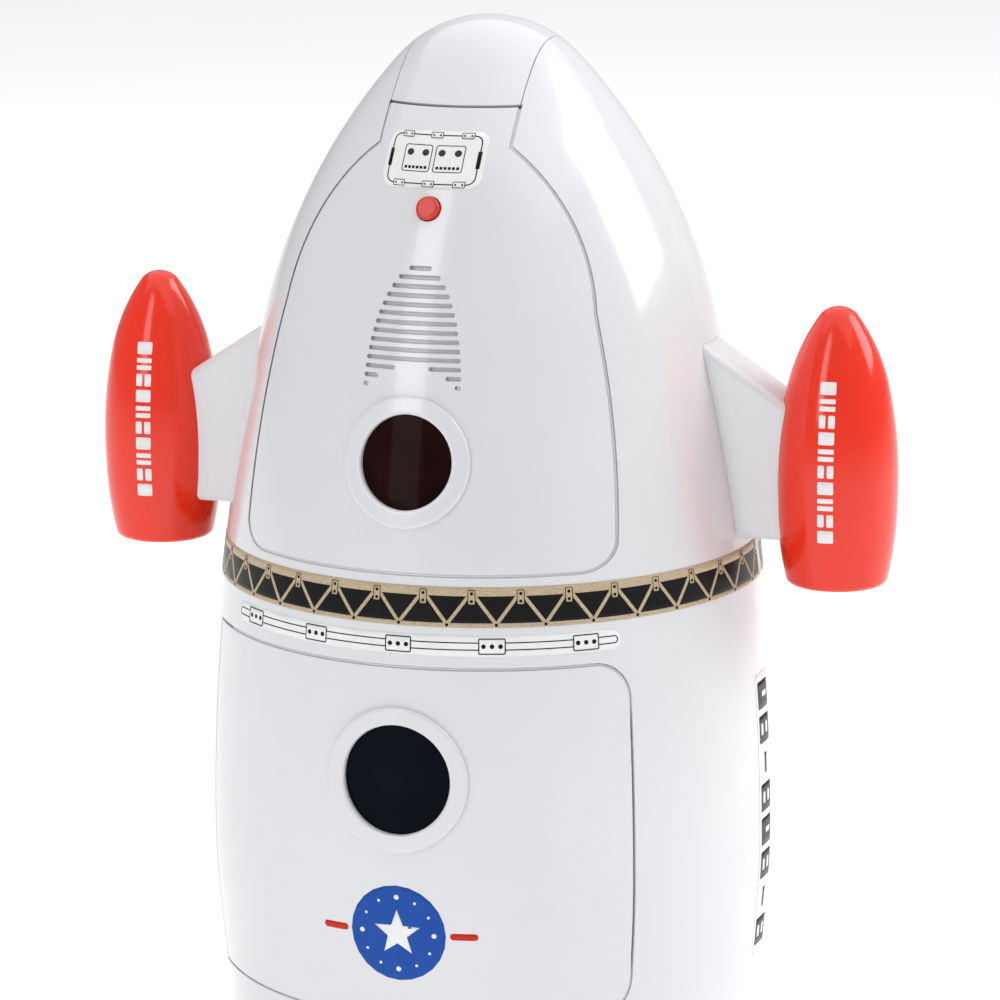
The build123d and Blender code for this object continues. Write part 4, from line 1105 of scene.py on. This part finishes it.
class ROCKET_OT_studio(bpy.types.Operator):
    """Set the pale floor, the soft lights and the camera"""

    bl_idname = "rocket.studio"
    bl_label = "Studio"

    def execute(self, context):
        scene = context.scene
        size = scene.rocket_studio
        low, _ = cad_box
        made = bmesh.new()
        bmesh.ops.create_circle(made, cap_ends=True, segments=96, radius=size.floor)
        data = bpy.data.meshes.new("studio_floor")
        made.to_mesh(data)
        made.free()
        floor = bpy.data.objects.new("studio_floor", data)
        floor.location = (0, 0, low.z)
        scene.collection.objects.link(floor)
        paper = Finish("paper_of_floor")
        paper.set(
            Base_Color=paper.blend(paper.noise(3.0, 2.0), (0.88, 0.88, 0.88), (0.90, 0.90, 0.90)),
            Roughness=0.7,
            Emission_Color=(1.0, 1.0, 1.0, 1.0),
            Emission_Strength=0.30,
        )
        data.materials.append(paper.material)

        world = bpy.data.worlds.new("studio_room")
        world.use_nodes = True
        room = world.node_tree.nodes["Background"]
        room.inputs["Color"].default_value = (0.97, 0.98, 1.0, 1.0)
        room.inputs["Strength"].default_value = size.room
        scene.world = world

        middle = (0, 0, size.aim)
        spread = 1.0 if size.soft_shadows else 0.3
        soft_lamp("lamp_over", (0, 1.2, 3), (0, 1.2, 0), 6 * spread, 6 * spread, 100)
        soft_lamp("lamp_right", (1.45, 0.75, 1.35), middle, 1.1 * spread, 1.2 * spread, 19)
        soft_lamp("lamp_left", (-0.60, -1.66, 1.2), middle, 0.5 * spread, 1.6 * spread, 8)
        soft_lamp("lamp_behind", (0.0, 2.6, 0.9), middle, 3.0 * spread, 1.4 * spread, 3)

        back = Vector((
            sin(size.azimuth) * cos(size.elevation),
            -cos(size.azimuth) * cos(size.elevation),
            sin(size.elevation),
        ))
        optics = bpy.data.cameras.new("camera")
        optics.lens = size.lens
        optics.sensor_width = 36.0
        optics.shift_x = size.sideways
        optics.clip_start, optics.clip_end = 0.05, 60.0
        camera = bpy.data.objects.new("camera", optics)
        scene.collection.objects.link(camera)
        camera.location = Vector(middle) + back * size.distance
        turn = (-back).to_track_quat("-Z", "Y").to_matrix().to_4x4()
        camera.matrix_world = (
            Matrix.Translation(camera.location) @ turn @ Matrix.Rotation(size.roll, 4, "Z")
        )
        scene.camera = camera
        scene.view_settings.view_transform = "Standard"
        return {"FINISHED"}


# ------------------------------------------------------------------ panel and registration

STEPS = (
    ROCKET_OT_dress_shell,
    ROCKET_OT_dress_pods,
    ROCKET_OT_dress_panes,
    ROCKET_OT_dress_works,
    ROCKET_OT_seam_lips,
    ROCKET_OT_waist_strip,
    ROCKET_OT_rail_strip,
    ROCKET_OT_instrument_label,
    ROCKET_OT_door_badge,
    ROCKET_OT_side_mark,
    ROCKET_OT_pod_marks,
    ROCKET_OT_studio,
)


class ROCKET_PT_panel(bpy.types.Panel):
    """Lists the rocket's steps and sizes"""

    bl_label = "Toy rocket"
    bl_idname = "ROCKET_PT_panel"
    bl_space_type = "VIEW_3D"
    bl_region_type = "UI"
    bl_category = "Rocket"

    def draw(self, context):
        for step in STEPS:
            self.layout.operator(step.bl_idname)
        for name in GROUPS:
            box = self.layout.box()
            group = getattr(context.scene, name)
            for key in group.bl_rna.properties.keys():
                if key not in ("rna_type", "name"):
                    box.prop(group, key)


GROUPS = {
    "rocket_finish": RocketFinish,
    "rocket_seams": RocketSeams,
    "rocket_waist": RocketWaist,
    "rocket_rail": RocketRail,
    "rocket_labels": RocketLabels,
    "rocket_studio": RocketStudio,
}


def register():
    for name, group in GROUPS.items():
        bpy.utils.register_class(group)
        setattr(bpy.types.Scene, name, PointerProperty(type=group))
    for made in (*STEPS, ROCKET_PT_panel):
        bpy.utils.register_class(made)


def unregister():
    for made in (ROCKET_PT_panel, *reversed(STEPS)):
        bpy.utils.unregister_class(made)
    for name, group in GROUPS.items():
        delattr(bpy.types.Scene, name)
        bpy.utils.unregister_class(group)


def main():
    register()
    for step in STEPS:
        getattr(bpy.ops.rocket, step.bl_idname.removeprefix("rocket."))()
    bpy.context.view_layer.update()


if __name__ == "__main__":
    main()
